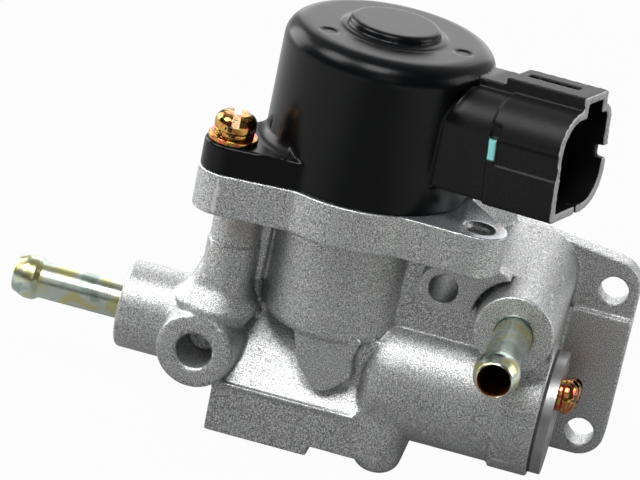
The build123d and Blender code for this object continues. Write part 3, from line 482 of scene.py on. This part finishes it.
@dataclass(frozen=True)
class ZincCoat(Finish):
    """Steel with a passivated zinc coat whose tints drift over the surface."""

    first: Colour
    second: Colour
    third: Colour
    size: float
    roughness: float
    patch_rough: float = 0.1
    grain_size: float = 0.0004
    bump_depth: float = 0.00003
    bump_strength: float = 0.15

    def shade(self, graph: Graph, shader: Node, place: Socket) -> None:
        """Metal with drifting tints and fine drawing marks."""
        graph.link(self.colour(graph, place), shader, "Base Color")
        grain = self.grain(graph, place, self.grain_size)
        rough = graph.sloped(grain.outputs["Patches"], self.patch_rough, self.roughness)
        graph.link(rough, shader, "Roughness")
        shader.inputs["Metallic"].default_value = 1.0
        self.bump(graph, shader, grain.outputs["Height"], self.bump_depth, self.bump_strength)

    def colour(self, graph: Graph, place: Socket) -> Socket:
        """Drifting tints of the coat."""
        inputs = {"Vector": place, "Size": self.size, "First": rgba(self.first),
                  "Second": rgba(self.second), "Third": rgba(self.third)}
        tints = graph.add("ShaderNodeGroup", node_tree=GroupBuilder.passivate(), inputs=inputs)
        return tints.outputs["Color"]


@dataclass(frozen=True)
class PipeZinc(ZincCoat):
    """Zinc coat of the hose pipes, with the bores browned by the coolant."""

    rust: Colour = (0.62, 0.27, 0.09)
    left_axis: Point = (0.0, -2.0, -42.0)
    front_axis: Point = (39.5, 0.0, -19.6)
    bore_limits: Pair = (0.00345, 0.0033)

    def colour(self, graph: Graph, place: Socket) -> Socket:
        """Tints outside, brown inside."""
        in_left = self.within(graph, place, self.left_axis, Vector((0, 1, 1)))
        in_front = self.within(graph, place, self.front_axis, Vector((1, 0, 1)))
        inside = graph.maths("MAXIMUM", in_left, in_front)
        return graph.mix(inside, super().colour(graph, place), rgba(self.rust))

    def within(self, graph: Graph, place: Socket, axis: Point, plane: Vector) -> Socket:
        """Mask of the points in a pipe's bore; the plane has ones across the pipe."""
        flat = graph.vector("MULTIPLY", place, plane).outputs[0]
        away = graph.distance(flat, spot(*axis) * plane)
        return graph.between(away, self.bore_limits)


@dataclass(frozen=True)
class PlainSkin(Finish):
    """Simple metal, plastic or rubber with a fine grain, for the inner pieces and the plates."""

    tone: Colour
    shade_tone: Colour
    metallic: float
    roughness: float
    grain_size: float = 0.0004
    speckle_rough: float = 0.1
    bump_depth: float = 0.00003
    bump_strength: float = 0.2

    def shade(self, graph: Graph, shader: Node, place: Socket) -> None:
        """Two close tones mixed by the grain."""
        grain = self.grain(graph, place, self.grain_size)
        colour = graph.mix(grain.outputs["Patches"], rgba(self.tone), rgba(self.shade_tone))
        graph.link(colour, shader, "Base Color")
        rough = graph.sloped(grain.outputs["Speckle"], self.speckle_rough, self.roughness)
        graph.link(rough, shader, "Roughness")
        shader.inputs["Metallic"].default_value = self.metallic
        self.bump(graph, shader, grain.outputs["Height"], self.bump_depth, self.bump_strength)


FINISHES: dict[Slot, Finish] = {
    Slot.CAST: CastSkin(),
    Slot.BLACK: BlackMoulding(),
    Slot.SCREW: ZincCoat((0.08, 0.04, 0.02), (0.60, 0.38, 0.09), (0.62, 0.13, 0.08), 0.0015, 0.1),
    Slot.PIPE: PipeZinc((0.36, 0.45, 0.38), (0.60, 0.66, 0.60), (0.62, 0.60, 0.30), 0.006, 0.22),
    Slot.INNER: PlainSkin((0.35, 0.32, 0.26), (0.32, 0.29, 0.23), 0.0, 0.45),
    Slot.PLUG: PlainSkin((0.05, 0.05, 0.05), (0.04, 0.04, 0.04), 0.0, 0.5),
    Slot.STEEL: PlainSkin((0.5, 0.5, 0.5), (0.4, 0.4, 0.4), 1.0, 0.35),
    Slot.COVER: PlainSkin((0.46, 0.46, 0.46), (0.36, 0.36, 0.36), 0.9, 0.32, 0.0003),
    Slot.COPPER: PlainSkin((0.72, 0.36, 0.18), (0.62, 0.28, 0.12), 1.0, 0.3),
    Slot.BRONZE: PlainSkin((0.5, 0.33, 0.16), (0.42, 0.27, 0.13), 1.0, 0.45),
    Slot.FERRITE: PlainSkin((0.06, 0.06, 0.065), (0.05, 0.05, 0.05), 0.1, 0.55),
    Slot.TINNED: PlainSkin((0.72, 0.7, 0.64), (0.66, 0.63, 0.56), 1.0, 0.25),
    Slot.RUBBER: PlainSkin((0.02, 0.02, 0.02), (0.016, 0.016, 0.016), 0.0, 0.6),
    Slot.GASKET: PlainSkin((0.12, 0.12, 0.12), (0.09, 0.09, 0.09), 0.0, 0.8),
}


@dataclass(frozen=True)
class Rounding:
    """Rounding of a moulded skin: cell size in metres, smoothing and most triangles."""

    voxel: float
    passes: int = 3
    factor: float = 0.5
    limit: int = 190000


class Shop:
    """Makes and places the pieces of the visual model."""

    smooth_angle = 40.0
    ease_angle = 25.0
    ease_segments = 3
    ease_profile = 0.5
    smooth_factor = 0.5

    @staticmethod
    def link(name: str, data: bpy.types.ID) -> Thing:
        """Link a new object that holds a mesh, a lamp or a camera."""
        made = bpy.data.objects.new(name, data)
        bpy.context.scene.collection.objects.link(made)
        return made

    @staticmethod
    def pour(shape: Shape, name: str) -> Mesh:
        """Turn a shape into a mesh and free the shape."""
        mesh = bpy.data.meshes.new(name)
        shape.to_mesh(mesh)
        shape.free()
        return mesh

    @staticmethod
    def evaluated(made: Thing) -> Thing:
        """An object as its modifiers leave it."""
        return made.evaluated_get(bpy.context.evaluated_depsgraph_get())

    @staticmethod
    def discard(made: Thing) -> None:
        """Remove a scratch object with its mesh."""
        mesh = made.data
        bpy.data.objects.remove(made)
        bpy.data.meshes.remove(mesh)

    @classmethod
    def piece(cls, mesh: Mesh, slot: Slot, nodes: Iterable[str]) -> Thing:
        """Put a finished mesh on the frame in place of its nodes.

        Args:
            mesh: Mesh with its place in its points.
            slot: Material slot that gives the finish.
            nodes: Nodes that the piece stands for.

        Returns:
            The placed object.
        """
        mesh.materials.append(FINISHES[slot].material(slot))
        made = cls.link(mesh.name, mesh)
        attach(made, HOUSING_BODY)
        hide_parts(*nodes)
        LOG.info("%s: %d faces", made.name, len(mesh.polygons))
        return made

    @classmethod
    def to_mesh(cls, shape: Shape, name: str) -> Mesh:
        """Turn a shape into a closed mesh that is smooth except at its sharp edges."""
        bmesh.ops.remove_doubles(shape, verts=shape.verts, dist=MERGE)
        bmesh.ops.recalc_face_normals(shape, faces=shape.faces)
        limit = math.radians(cls.smooth_angle)
        for face in shape.faces:
            face.smooth = True
        for edge in shape.edges:
            edge.smooth = len(edge.link_faces) == 2 and edge.calc_face_angle(0.0) < limit
        return cls.pour(shape, name)

    @classmethod
    def rounded_copy(cls, source: Thing, name: str, rounding: Rounding,
                     added: Sequence[Shape] = ()) -> Mesh:
        """Copy a node with its edges rounded as a mould leaves them.

        Args:
            source: The node's object.
            name: Name of the new mesh.
            rounding: Sizes of the rounding.
            added: Closed shapes that grow into the copy; they are freed.

        Returns:
            The rounded mesh.
        """
        shape = bmesh.new()
        shape.from_mesh(source.data)
        bmesh.ops.remove_doubles(shape, verts=shape.verts, dist=CAD_MERGE)
        label = name + "_rough"
        work = cls.link(label, cls.pour(cls.join([shape, *added]), label))
        skin = work.modifiers.new("skin", "REMESH")
        skin.mode = "VOXEL"
        skin.voxel_size = rounding.voxel
        ease = work.modifiers.new("ease", "SMOOTH")
        ease.factor = rounding.factor
        ease.iterations = rounding.passes
        count = 2 * len(cls.evaluated(work).data.polygons)
        if count > rounding.limit:
            thin = work.modifiers.new("thin", "DECIMATE")
            thin.ratio = rounding.limit / count
        result = bpy.data.meshes.new_from_object(cls.evaluated(work))
        result.name = name
        cls.discard(work)
        for face in result.polygons:
            face.use_smooth = True
        return result

    @staticmethod
    def spin_profile(points: Sequence[Pair], place: Matrix, steps: int) -> Shape:
        """Turn a profile of radius and height pairs about its axis.

        Args:
            points: Corners of the profile, closed by the spin or by meeting the axis.
            place: Where the axis stands, as a matrix in metres.
            steps: Number of steps round the axis.

        Returns:
            The turned shape.
        """
        shape = bmesh.new()
        corners = [shape.verts.new((radius * MM, 0.0, height * MM)) for radius, height in points]
        edges = [shape.edges.new(pair) for pair in zip(corners, corners[1:])]
        bmesh.ops.spin(shape, geom=corners + edges, cent=CENTRE, axis=UP, angle=FULL_TURN,
                       steps=steps, use_merge=True)
        bmesh.ops.remove_doubles(shape, verts=shape.verts, dist=MERGE)
        bmesh.ops.recalc_face_normals(shape, faces=shape.faces)
        bmesh.ops.transform(shape, matrix=place, verts=shape.verts)
        return shape

    @classmethod
    def ease_edges(cls, shape: Shape, width: float) -> None:
        """Round every sharp edge of a shape by a width."""
        limit = math.radians(cls.ease_angle)
        sharp = [edge for edge in shape.edges
                 if len(edge.link_faces) == 2 and edge.calc_face_angle(0.0) > limit]
        bmesh.ops.bevel(shape, geom=sharp, offset=width * MM, affect="EDGES",
                        segments=cls.ease_segments, profile=cls.ease_profile, material=-1)

    @staticmethod
    def prism(outline: Sequence[Vector], depth: Vector) -> Shape:
        """Closed prism from an outline swept along a depth.

        Args:
            outline: Corners of one end, in metres.
            depth: Step to the other end, in metres.

        Returns:
            The prism.
        """
        shape = bmesh.new()
        end = shape.faces.new([shape.verts.new(corner) for corner in outline])
        grown = bmesh.ops.extrude_face_region(shape, geom=[end], use_keep_orig=True)
        far = [item for item in grown["geom"] if isinstance(item, bmesh.types.BMVert)]
        bmesh.ops.translate(shape, verts=far, vec=depth)
        bmesh.ops.recalc_face_normals(shape, faces=shape.faces)
        return shape

    @classmethod
    def ease_spots(cls, mesh: Mesh, spots: Balls, passes: int) -> None:
        """Smooth a mesh further inside some balls, as a mould's larger fillets are.

        Args:
            mesh: The mesh to ease.
            spots: Centres and radii of the balls.
            passes: Rounds of smoothing.
        """
        balls = [(spot(*centre), reach * MM) for centre, reach in spots]
        shape = bmesh.new()
        shape.from_mesh(mesh)
        near = [point for point in shape.verts
                if any((point.co - centre).length < reach for centre, reach in balls)]
        for _ in range(passes):
            bmesh.ops.smooth_vert(shape, verts=near, factor=cls.smooth_factor,
                                  use_axis_x=True, use_axis_y=True, use_axis_z=True)
        shape.to_mesh(mesh)
        shape.free()

    @classmethod
    def join(cls, shapes: Sequence[Shape]) -> Shape:
        """Gather several shapes into the first one and free the others."""
        whole = shapes[0]
        for other in shapes[1:]:
            carrier = cls.pour(other, "carrier")
            whole.from_mesh(carrier)
            bpy.data.meshes.remove(carrier)
        return whole


@dataclass
class Casting:
    """Die-cast body, rounded as the mould leaves it."""

    rounding: Rounding = Rounding(0.00035)
    ledge: Pair = (-10.6, -43.2)
    knee: Pair = (-2.6, -35.2)
    slope_ends: Pair = (-21.0, 9.0)
    slope_fade: float = 2.0
    slope_skin: float = 0.5
    swell: float = 0.3
    valley_left: float = 4.0
    valley_length: float = 11.0
    valley_section: Pairs = ((-10.6, -43.6), (-12.2, -36.5), (-12.2, -31.5), (-1.0, -31.5),
                             (-1.0, -43.6))
    saddle_front: float = -14.7
    saddle_depth: float = 10.0
    saddle_outline: Pairs = ((7.0, -58.0), (17.0, -58.0), (17.0, -42.5), (14.0, -43.5),
                             (10.6, -47.2), (7.0, -49.6))
    fillets: Balls = (((10.0, -13.0, -40.0), 6.0), ((11.5, -14.7, -49.0), 7.0),
                      ((-16.8, -7.5, -28.0), 4.0), ((-24.0, -14.0, -31.0), 7.0))
    fillet_passes: int = 12

    def valley(self) -> Shape:
        """Floor of the hollow between the shield and the jacket."""
        outline = [spot(self.valley_left, y, z) for y, z in self.valley_section]
        return Shop.prism(outline, Vector((self.valley_length * MM, 0, 0)))

    def saddle(self) -> Shape:
        """Flesh between the pad and the foot, where the pad runs into the jacket."""
        outline = [spot(x, self.saddle_front, z) for x, z in self.saddle_outline]
        return Shop.prism(outline, Vector((0, self.saddle_depth * MM, 0)))

    def swell_slope(self, mesh: Mesh) -> None:
        """Round out the slope over the pad, so that it meets the ledge in a soft line."""
        low, high = Vector(self.ledge), Vector(self.knee)
        run = high - low
        outward = Vector((-run.y, run.x)).normalized()
        left, right = self.slope_ends
        for point in mesh.vertices:
            place = point.co / MM - DRAWING_ORIGIN
            if not left < place.x < right:
                continue
            from_ledge = Vector((place.y, place.z)) - low
            share = from_ledge.dot(run) / run.length_squared
            if not 0.0 < share < 1.0 or abs(from_ledge.dot(outward)) > self.slope_skin:
                continue
            fade = min(1.0, min(place.x - left, right - place.x) / self.slope_fade)
            rise = self.swell * fade * math.sin(math.pi * share) * MM
            point.co.y += outward.x * rise
            point.co.z += outward.y * rise

    def build(self, nodes: dict[str, Thing]) -> None:
        """Round the body's node and dress it."""
        mesh = Shop.rounded_copy(nodes["valve_body"], "cast_body", self.rounding,
                                 (self.valley(), self.saddle()))
        self.swell_slope(mesh)
        Shop.ease_spots(mesh, self.fillets, self.fillet_passes)
        Shop.piece(mesh, Slot.CAST, ["valve_body"])


@dataclass
class Motor:
    """Black motor housing with its connector."""

    rounding: Rounding = Rounding(0.00030)
    drum_r: float = 22.3
    drum_skin: float = 0.05
    ear_top: float = 6.3
    ear_spreads: Pairs = ((212.0, 50.0), (32.0, 28.0))
    web_top: float = 12.6
    foot: float = 3.0
    crown: Balls = (((0.0, 0.0, 32.5), 13.5),)
    crown_passes: int = 5

    def foot_height(self, radius: float) -> float:
        """Height of the rounded foot above an ear at a distance from the motor axis."""
        rest = self.drum_r + self.foot - radius
        if rest <= 0.0:
            return 0.0
        return self.foot - math.sqrt(max(self.foot ** 2 - rest ** 2, 0.0))

    def over_ear(self, angle: float) -> bool:
        """Whether an angle round the motor axis, in degrees, is over an ear."""
        return any(abs((angle - ear + 180.0) % 360.0 - 180.0) <= spread
                   for ear, spread in self.ear_spreads)

    def lower_webs(self, mesh: Mesh) -> None:
        """Bring the webs on the ears down to a rounded foot round the drum."""
        axis = spot(0, 0, 0)
        for point in mesh.vertices:
            out = (point.co - axis) / MM
            radius = math.hypot(out.x, out.y)
            if radius < self.drum_r + self.drum_skin or not self.ear_top < out.z < self.web_top:
                continue
            if self.over_ear(math.degrees(math.atan2(out.y, out.x))):
                top = self.ear_top + self.foot_height(radius)
                point.co.z = axis.z + min(out.z, top) * MM

    def build(self, nodes: dict[str, Thing]) -> None:
        """Round the housing's node and dress it."""
        mesh = Shop.rounded_copy(nodes["motor_housing"], "motor_cover", self.rounding)
        self.lower_webs(mesh)
        Shop.ease_spots(mesh, self.crown, self.crown_passes)
        Shop.piece(mesh, Slot.BLACK, ["motor_housing"])


@dataclass
class HosePipes:
    """Beaded steel hose pipes at the left and the front."""

    outer: float = 4.0
    bore: float = 3.1
    length: float = 35.5
    tip_curve: Pairs = ((3.1, 1.2), (3.25, 0.35), (3.5, 0.0), (3.72, 0.12), (3.9, 0.45))
    bead_curve: Pairs = ((4.05, 0.9), (4.5, 1.9), (4.72, 2.6), (4.8, 3.2), (4.8, 4.4), (4.7, 4.9),
                         (4.4, 5.4), (4.1, 5.75), (4.0, 6.1))
    left_tip: Point = (-70.0, -2.0, -42.0)
    front_tip: Point = (39.5, -43.0, -19.6)
    steps: int = 96

    def profile(self) -> list[Pair]:
        """Section of the pipe from the bore round the tip and the bead to the sunk end."""
        inner_end, outer_end = (self.bore, self.length), (self.outer, self.length)
        return [inner_end, *self.tip_curve, *self.bead_curve, outer_end, inner_end]

    def build(self) -> None:
        """Turn both pipes and dress them."""
        for name, tip, angle, axis in (("left_hose_pipe", self.left_tip, 90.0, "Y"),
                                       ("front_hose_pipe", self.front_tip, -90.0, "X")):
            turn = Matrix.Rotation(math.radians(angle), 4, axis)
            place = Matrix.Translation(spot(*tip)) @ turn
            shape = Shop.spin_profile(self.profile(), place, self.steps)
            Shop.piece(Shop.to_mesh(shape, name + "_turned"), Slot.PIPE, [name])


@dataclass(frozen=True)
class ScrewSize:
    """Sizes of a slotted round-head screw."""

    shank_r: float
    shank_l: float
    head_r: float
    head_h: float
    slot_depth: float
    slot_width: float = 1.6
    flat_share: float = 0.42
    rim_share: float = 0.36
    rim_round: float = 0.25
    tip_chamfer: float = 0.6
    dome_steps: int = 8

    def profile(self) -> list[Pair]:
        """Section from the top of the domed head to the tip of the shank."""
        flat = self.flat_share * self.head_r
        rim = self.rim_share * self.head_h
        points = [(0.0, self.head_h)]
        for step in range(1, self.dome_steps + 1):
            turn = math.radians(90 - 90 * step / self.dome_steps)
            points.append((flat + (self.head_r - flat) * math.cos(turn),
                           rim + (self.head_h - rim) * math.sin(turn)))
        return points + [(self.head_r, self.rim_round), (self.head_r - self.rim_round, 0.0),
                         (self.shank_r, 0.0), (self.shank_r, self.tip_chamfer - self.shank_l),
                         (self.shank_r - self.tip_chamfer, -self.shank_l), (0.0, -self.shank_l)]


@dataclass(frozen=True)
class RingSize:
    """Sizes of a washer."""

    outer: float
    inner: float
    height: float
    ease: float

    def section(self) -> list[Pair]:
        """Corners of the ring's section."""
        return [(self.inner, 0.0), (self.outer, 0.0), (self.outer, self.height),
                (self.inner, self.height)]


@dataclass
class Screws:
    """Motor screws and cover screws with their washers, slotted and domed."""

    motor_screw: ScrewSize = ScrewSize(2.5, 15.6, 4.4, 3.7, 2.2)
    motor_flat: RingSize = RingSize(5.2, 2.8, 1.0, 0.18)
    motor_split: RingSize = RingSize(4.2, 2.8, 1.3, 0.2)
    cover_screw: ScrewSize = ScrewSize(2.0, 12.5, 3.8, 2.9, 1.6)
    cover_split: RingSize = RingSize(3.5, 2.3, 1.1, 0.2)
    ear_pitch: float = 30.8
    ear_angles: Pair = (212.0, 32.0)
    ear_top: float = 6.3
    slot_turn: float = 100.0
    cover_axis: Pair = (-3.1, -40.8)
    cover_circle: float = 9.4
    cover_angles: Pair = (130.0, 6.6)
    cover_face: float = 50.9
    split_gap: float = 10.0
    steps: int = 64
    split_steps: int = 60

    def motor_places(self, height: float) -> list[Matrix]:
        """Places of the motor screws at a height above the ears, slots turned front to back."""
        slot = Matrix.Rotation(math.radians(self.slot_turn), 4, "Z")
        return [Matrix.Translation(spot(x, y, self.ear_top + height)) @ slot
                for x, y in on_circle(self.ear_pitch, self.ear_angles)]

    def cover_places(self, height: float) -> list[Matrix]:
        """Places of the cover screws at a height above the cover's face."""
        outward = Matrix.Rotation(math.radians(90), 4, "Y")
        y, z = self.cover_axis
        return [Matrix.Translation(spot(self.cover_face + height, y + back, z + rise)) @ outward
                for back, rise in on_circle(self.cover_circle, self.cover_angles)]

    def screw(self, size: ScrewSize) -> Shape:
        """One screw at the origin, head up, with the driver slot cut across its head."""
        blank = Shop.spin_profile(size.profile(), Matrix.Identity(4), self.steps)
        tool = bmesh.new()
        slot = Vector((3 * size.head_r, size.slot_width, 2 * size.slot_depth)) * MM
        place = Matrix.Translation((0, 0, size.head_h * MM)) @ Matrix.Diagonal((*slot, 1.0))
        bmesh.ops.create_cube(tool, size=1.0, matrix=place)
        blank, tool = (Shop.link(label, Shop.pour(shape, label))
                       for shape, label in ((blank, "screw_blank"), (tool, "slot_tool")))
        cut = blank.modifiers.new("slot", "BOOLEAN")
        cut.operation = "DIFFERENCE"
        cut.solver = "EXACT"
        cut.object = tool
        result = bmesh.new()
        result.from_mesh(Shop.evaluated(blank).data)
        Shop.discard(blank)
        Shop.discard(tool)
        return result

    def flat_ring(self, size: RingSize) -> Shape:
        """Flat washer with eased edges."""
        section = size.section()
        shape = Shop.spin_profile(section + section[:1], Matrix.Identity(4), self.steps)
        Shop.ease_edges(shape, size.ease)
        return shape

    def split_ring(self, size: RingSize) -> Shape:
        """Spring washer: a ring of square wire with a gap."""
        shape = bmesh.new()
        corners = [shape.verts.new((radius * MM, 0.0, level * MM))
                   for radius, level in size.section()]
        face = shape.faces.new(corners)
        gap = math.radians(self.split_gap)
        bmesh.ops.rotate(shape, verts=corners, cent=CENTRE,
                         matrix=Matrix.Rotation(gap / 2, 3, "Z"))
        bmesh.ops.spin(shape, geom=[face, *face.edges, *corners], cent=CENTRE, axis=UP,
                       angle=FULL_TURN - gap, steps=self.split_steps)
        bmesh.ops.recalc_face_normals(shape, faces=shape.faces)
        Shop.ease_edges(shape, size.ease)
        return shape

    def place(self, make: Callable[..., Shape], size: ScrewSize | RingSize,
              places: Sequence[Matrix], name: str, node: str) -> None:
        """Build a fastener at each of its places as one piece.

        Args:
            make: Maker of one fastener from its sizes.
            size: The fastener's sizes.
            places: Where the fasteners sit.
            name: Name of the piece.
            node: Node that the piece stands for.
        """
        shapes = []
        for place in places:
            shape = make(size)
            bmesh.ops.transform(shape, matrix=place, verts=shape.verts)
            shapes.append(shape)
        Shop.piece(Shop.to_mesh(Shop.join(shapes), name), Slot.SCREW, [node])

    def build(self) -> None:
        """Make every screw and washer."""
        on_flat = self.motor_flat.height
        on_split = on_flat + self.motor_split.height
        self.place(self.screw, self.motor_screw, self.motor_places(on_split),
                   "motor_bolts", "motor_screws")
        self.place(self.flat_ring, self.motor_flat, self.motor_places(0.0),
                   "motor_flat_rings", "motor_flat_washers")
        self.place(self.split_ring, self.motor_split, self.motor_places(on_flat),
                   "motor_split_rings", "motor_spring_washers")
        self.place(self.screw, self.cover_screw, self.cover_places(self.cover_split.height),
                   "cover_bolts", "cover_screws")
        self.place(self.split_ring, self.cover_split, self.cover_places(0.0),
                   "cover_split_rings", "cover_spring_washers")


@dataclass
class ReturnSpring:
    """Coil spring over the valve shaft; the real one shortens as the valve lifts, this one keeps
    its rest length.
    """

    radius: float = 4.6
    wire: float = 0.35
    turns: int = 4
    low: float = -16.127
    high: float = -5.37
    lift: float = 6.0
    steps: int = 32
    sides: int = 10

    def ring(self, shape: Shape, share: float) -> list[bmesh.types.BMVert]:
        """Section of the wire at a share of the coil's length."""
        turn = FULL_TURN * self.turns * share
        out = Vector((math.cos(turn), math.sin(turn), 0.0))
        centre = out * self.radius + UP * (self.low + (self.high - self.low) * share)
        points = []
        for side in range(self.sides):
            angle = FULL_TURN * side / self.sides
            offset = out * math.cos(angle) + UP * math.sin(angle)
            points.append(shape.verts.new(spot(*(centre + offset * self.wire))))
        return points

    def build(self) -> None:
        """Wind the spring and give it a mesh of its own."""
        shape = bmesh.new()
        count = self.turns * self.steps
        rings = [self.ring(shape, step / count) for step in range(count + 1)]
        for near, far in zip(rings, rings[1:]):
            for side in range(self.sides):
                after = (side + 1) % self.sides
                shape.faces.new((near[side], near[after], far[after], far[side]))
        shape.faces.new(rings[0])
        shape.faces.new(rings[-1])
        made = Shop.piece(Shop.to_mesh(shape, "return_spring"), Slot.STEEL, ["valve_spring"])
        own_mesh(made)


class InnerWorks:
    """Nodes that keep their own shape and only get their finish."""

    @staticmethod
    def dress(nodes: dict[str, Thing], record: dict) -> None:
        """Give every node the material of its slot."""
        for part in record["subparts"]:
            slot = Slot(part["material_slot"])
            materials = nodes[part["node"]].data.materials
            materials.clear()
            materials.append(FINISHES[slot].material(slot))


@dataclass(frozen=True)
class Lamp:
    """Square soft lamp: its place from the middle of the valve, its side and its watts."""

    name: str
    offset: Point
    size: float
    power: float


@dataclass
class Studio:
    """Pale floor, soft lamps and the camera at the photograph's angle."""

    eye: Point = (0.02436, -0.6400, 0.27006)
    forward: Point = (-0.12904, 0.91816, -0.37461)
    roll: float = 11.7
    lens: float = 177.75
    clip: Pair = (0.01, 20.0)
    middle: Point = (0.0, 0.0, -10.0)
    lamps: tuple[Lamp, ...] = (
        Lamp("back_lamp", (-0.05, 0.80, 0.33), 0.7, 2.1),
        Lamp("top_lamp", (-0.06, -0.38, 0.70), 0.32, 3.3),
        Lamp("left_lamp", (-0.72, 0.36, 0.26), 0.5, 3.6),
        Lamp("right_lamp", (0.70, 0.15, 0.30), 0.4, 1.4),
        Lamp("side_lamp", (-0.50, -0.22, 0.60), 0.36, 3.8),
        Lamp("front_lamp", (0.10, -0.75, 0.36), 0.35, 0.25))
    white: Colour = (1.0, 1.0, 1.0)
    floor_tone: Colour = (0.22, 0.22, 0.22)
    floor_z: float = -0.0258
    floor_size: float = 6.0
    floor_behind: Pair = (0.0, 0.2)
    floor_left: Pair = (-0.09, -0.20)
    floor_right: Pair = (0.03, 0.16)
    mirrored_near: float = 0.10
    mirrored_rise: float = 0.84
    glow_share: float = 0.97
    sky_behind: Pair = (-0.1, 0.8)
    sky_front: float = 0.08
    sky_rise: float = 0.50

    def camera(self) -> None:
        """Place the camera with its roll."""
        data = bpy.data.cameras.new("view")
        data.lens = self.lens
        data.clip_start, data.clip_end = self.clip
        view = Shop.link("view", data)
        forward = Vector(self.forward)
        right = forward.cross(UP).normalized()
        up = right.cross(forward).normalized()
        turn = math.radians(self.roll)
        across = math.cos(turn) * right + math.sin(turn) * up
        upright = -math.sin(turn) * right + math.cos(turn) * up
        axes = Matrix((across, upright, -forward)).transposed().to_4x4()
        view.matrix_world = Matrix.Translation(self.eye) @ axes
        bpy.context.scene.camera = view

    def light(self, lamp: Lamp) -> None:
        """Hang a lamp that faces the middle of the valve."""
        data = bpy.data.lights.new(lamp.name, "AREA")
        data.size = lamp.size
        data.energy = lamp.power
        target = spot(*self.middle)
        made = Shop.link(lamp.name, data)
        made.location = target + Vector(lamp.offset)
        made.rotation_euler = (target - made.location).to_track_quat("-Z", "Y").to_euler()

    def floor(self) -> None:
        """Lay a wide pale floor that shows white and keeps a soft shadow."""
        shape = bmesh.new()
        bmesh.ops.create_grid(shape, x_segments=2, y_segments=2, size=self.floor_size,
                              matrix=Matrix.Translation((0, 0, self.floor_z)))
        mesh = Shop.pour(shape, "floor")
        made = bpy.data.materials.new("pale_floor")
        graph = Graph.of(made)
        rays = graph.add("ShaderNodeLightPath").outputs
        place = graph.add("ShaderNodeNewGeometry").outputs["Position"]
        spread = graph.add("ShaderNodeSeparateXYZ", {0: place}).outputs
        around = graph.between(spread["Y"], self.floor_behind)
        for limits in (self.floor_left, self.floor_right):
            around = graph.maths("MAXIMUM", around, graph.between(spread["X"], limits))
        mirrored = graph.maths("MAXIMUM", rays["Is Glossy Ray"], rays["Is Transmission Ray"])
        level = graph.sloped(around, self.mirrored_rise, self.mirrored_near)
        seen = graph.maths("MAXIMUM", rays["Is Camera Ray"], graph.product(mirrored, level))
        glow = graph.product(seen, self.glow_share)
        matt = graph.add("ShaderNodeBsdfDiffuse", {"Color": rgba(self.floor_tone)})
        white = graph.add("ShaderNodeEmission", {"Color": rgba(self.white), "Strength": 1.0})
        both = graph.add("ShaderNodeMixShader", {0: glow, 1: matt.outputs[0], 2: white.outputs[0]})
        graph.add("ShaderNodeOutputMaterial", {"Surface": both.outputs[0]})
        mesh.materials.append(made)
        Shop.link("floor", mesh)

    def sky(self) -> None:
        """Soft light from all round, more from behind and white where it is seen."""
        world = bpy.data.worlds.new("soft_room")
        graph = Graph.of(world)
        rays = graph.add("ShaderNodeLightPath").outputs
        way = graph.add("ShaderNodeTexCoord").outputs["Generated"]
        way = graph.add("ShaderNodeSeparateXYZ", {0: way}).outputs["Y"]
        room = graph.sloped(graph.between(way, self.sky_behind), self.sky_rise, self.sky_front)
        strength = graph.maths("MAXIMUM", rays["Is Camera Ray"], room)
        light = graph.add("ShaderNodeBackground",
                          {"Color": rgba(self.white), "Strength": strength})
        graph.add("ShaderNodeOutputWorld", {"Surface": light.outputs[0]})
        bpy.context.scene.world = world

    def build(self) -> None:
        """Set up floor, light and camera."""
        self.floor()
        self.sky()
        for lamp in self.lamps:
            self.light(lamp)
        self.camera()
        bpy.context.scene.view_settings.view_transform = "Standard"


def main() -> None:
    """Build every piece on the frame, then the studio."""
    logging.basicConfig(level=logging.INFO, format="%(name)s %(message)s")
    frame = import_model()
    nodes = frame["nodes"]
    InnerWorks.dress(nodes, frame["record"])
    Casting().build(nodes)
    Motor().build(nodes)
    HosePipes().build()
    Screws().build()
    ReturnSpring().build()
    Studio().build()


if __name__ == "__main__":
    main()
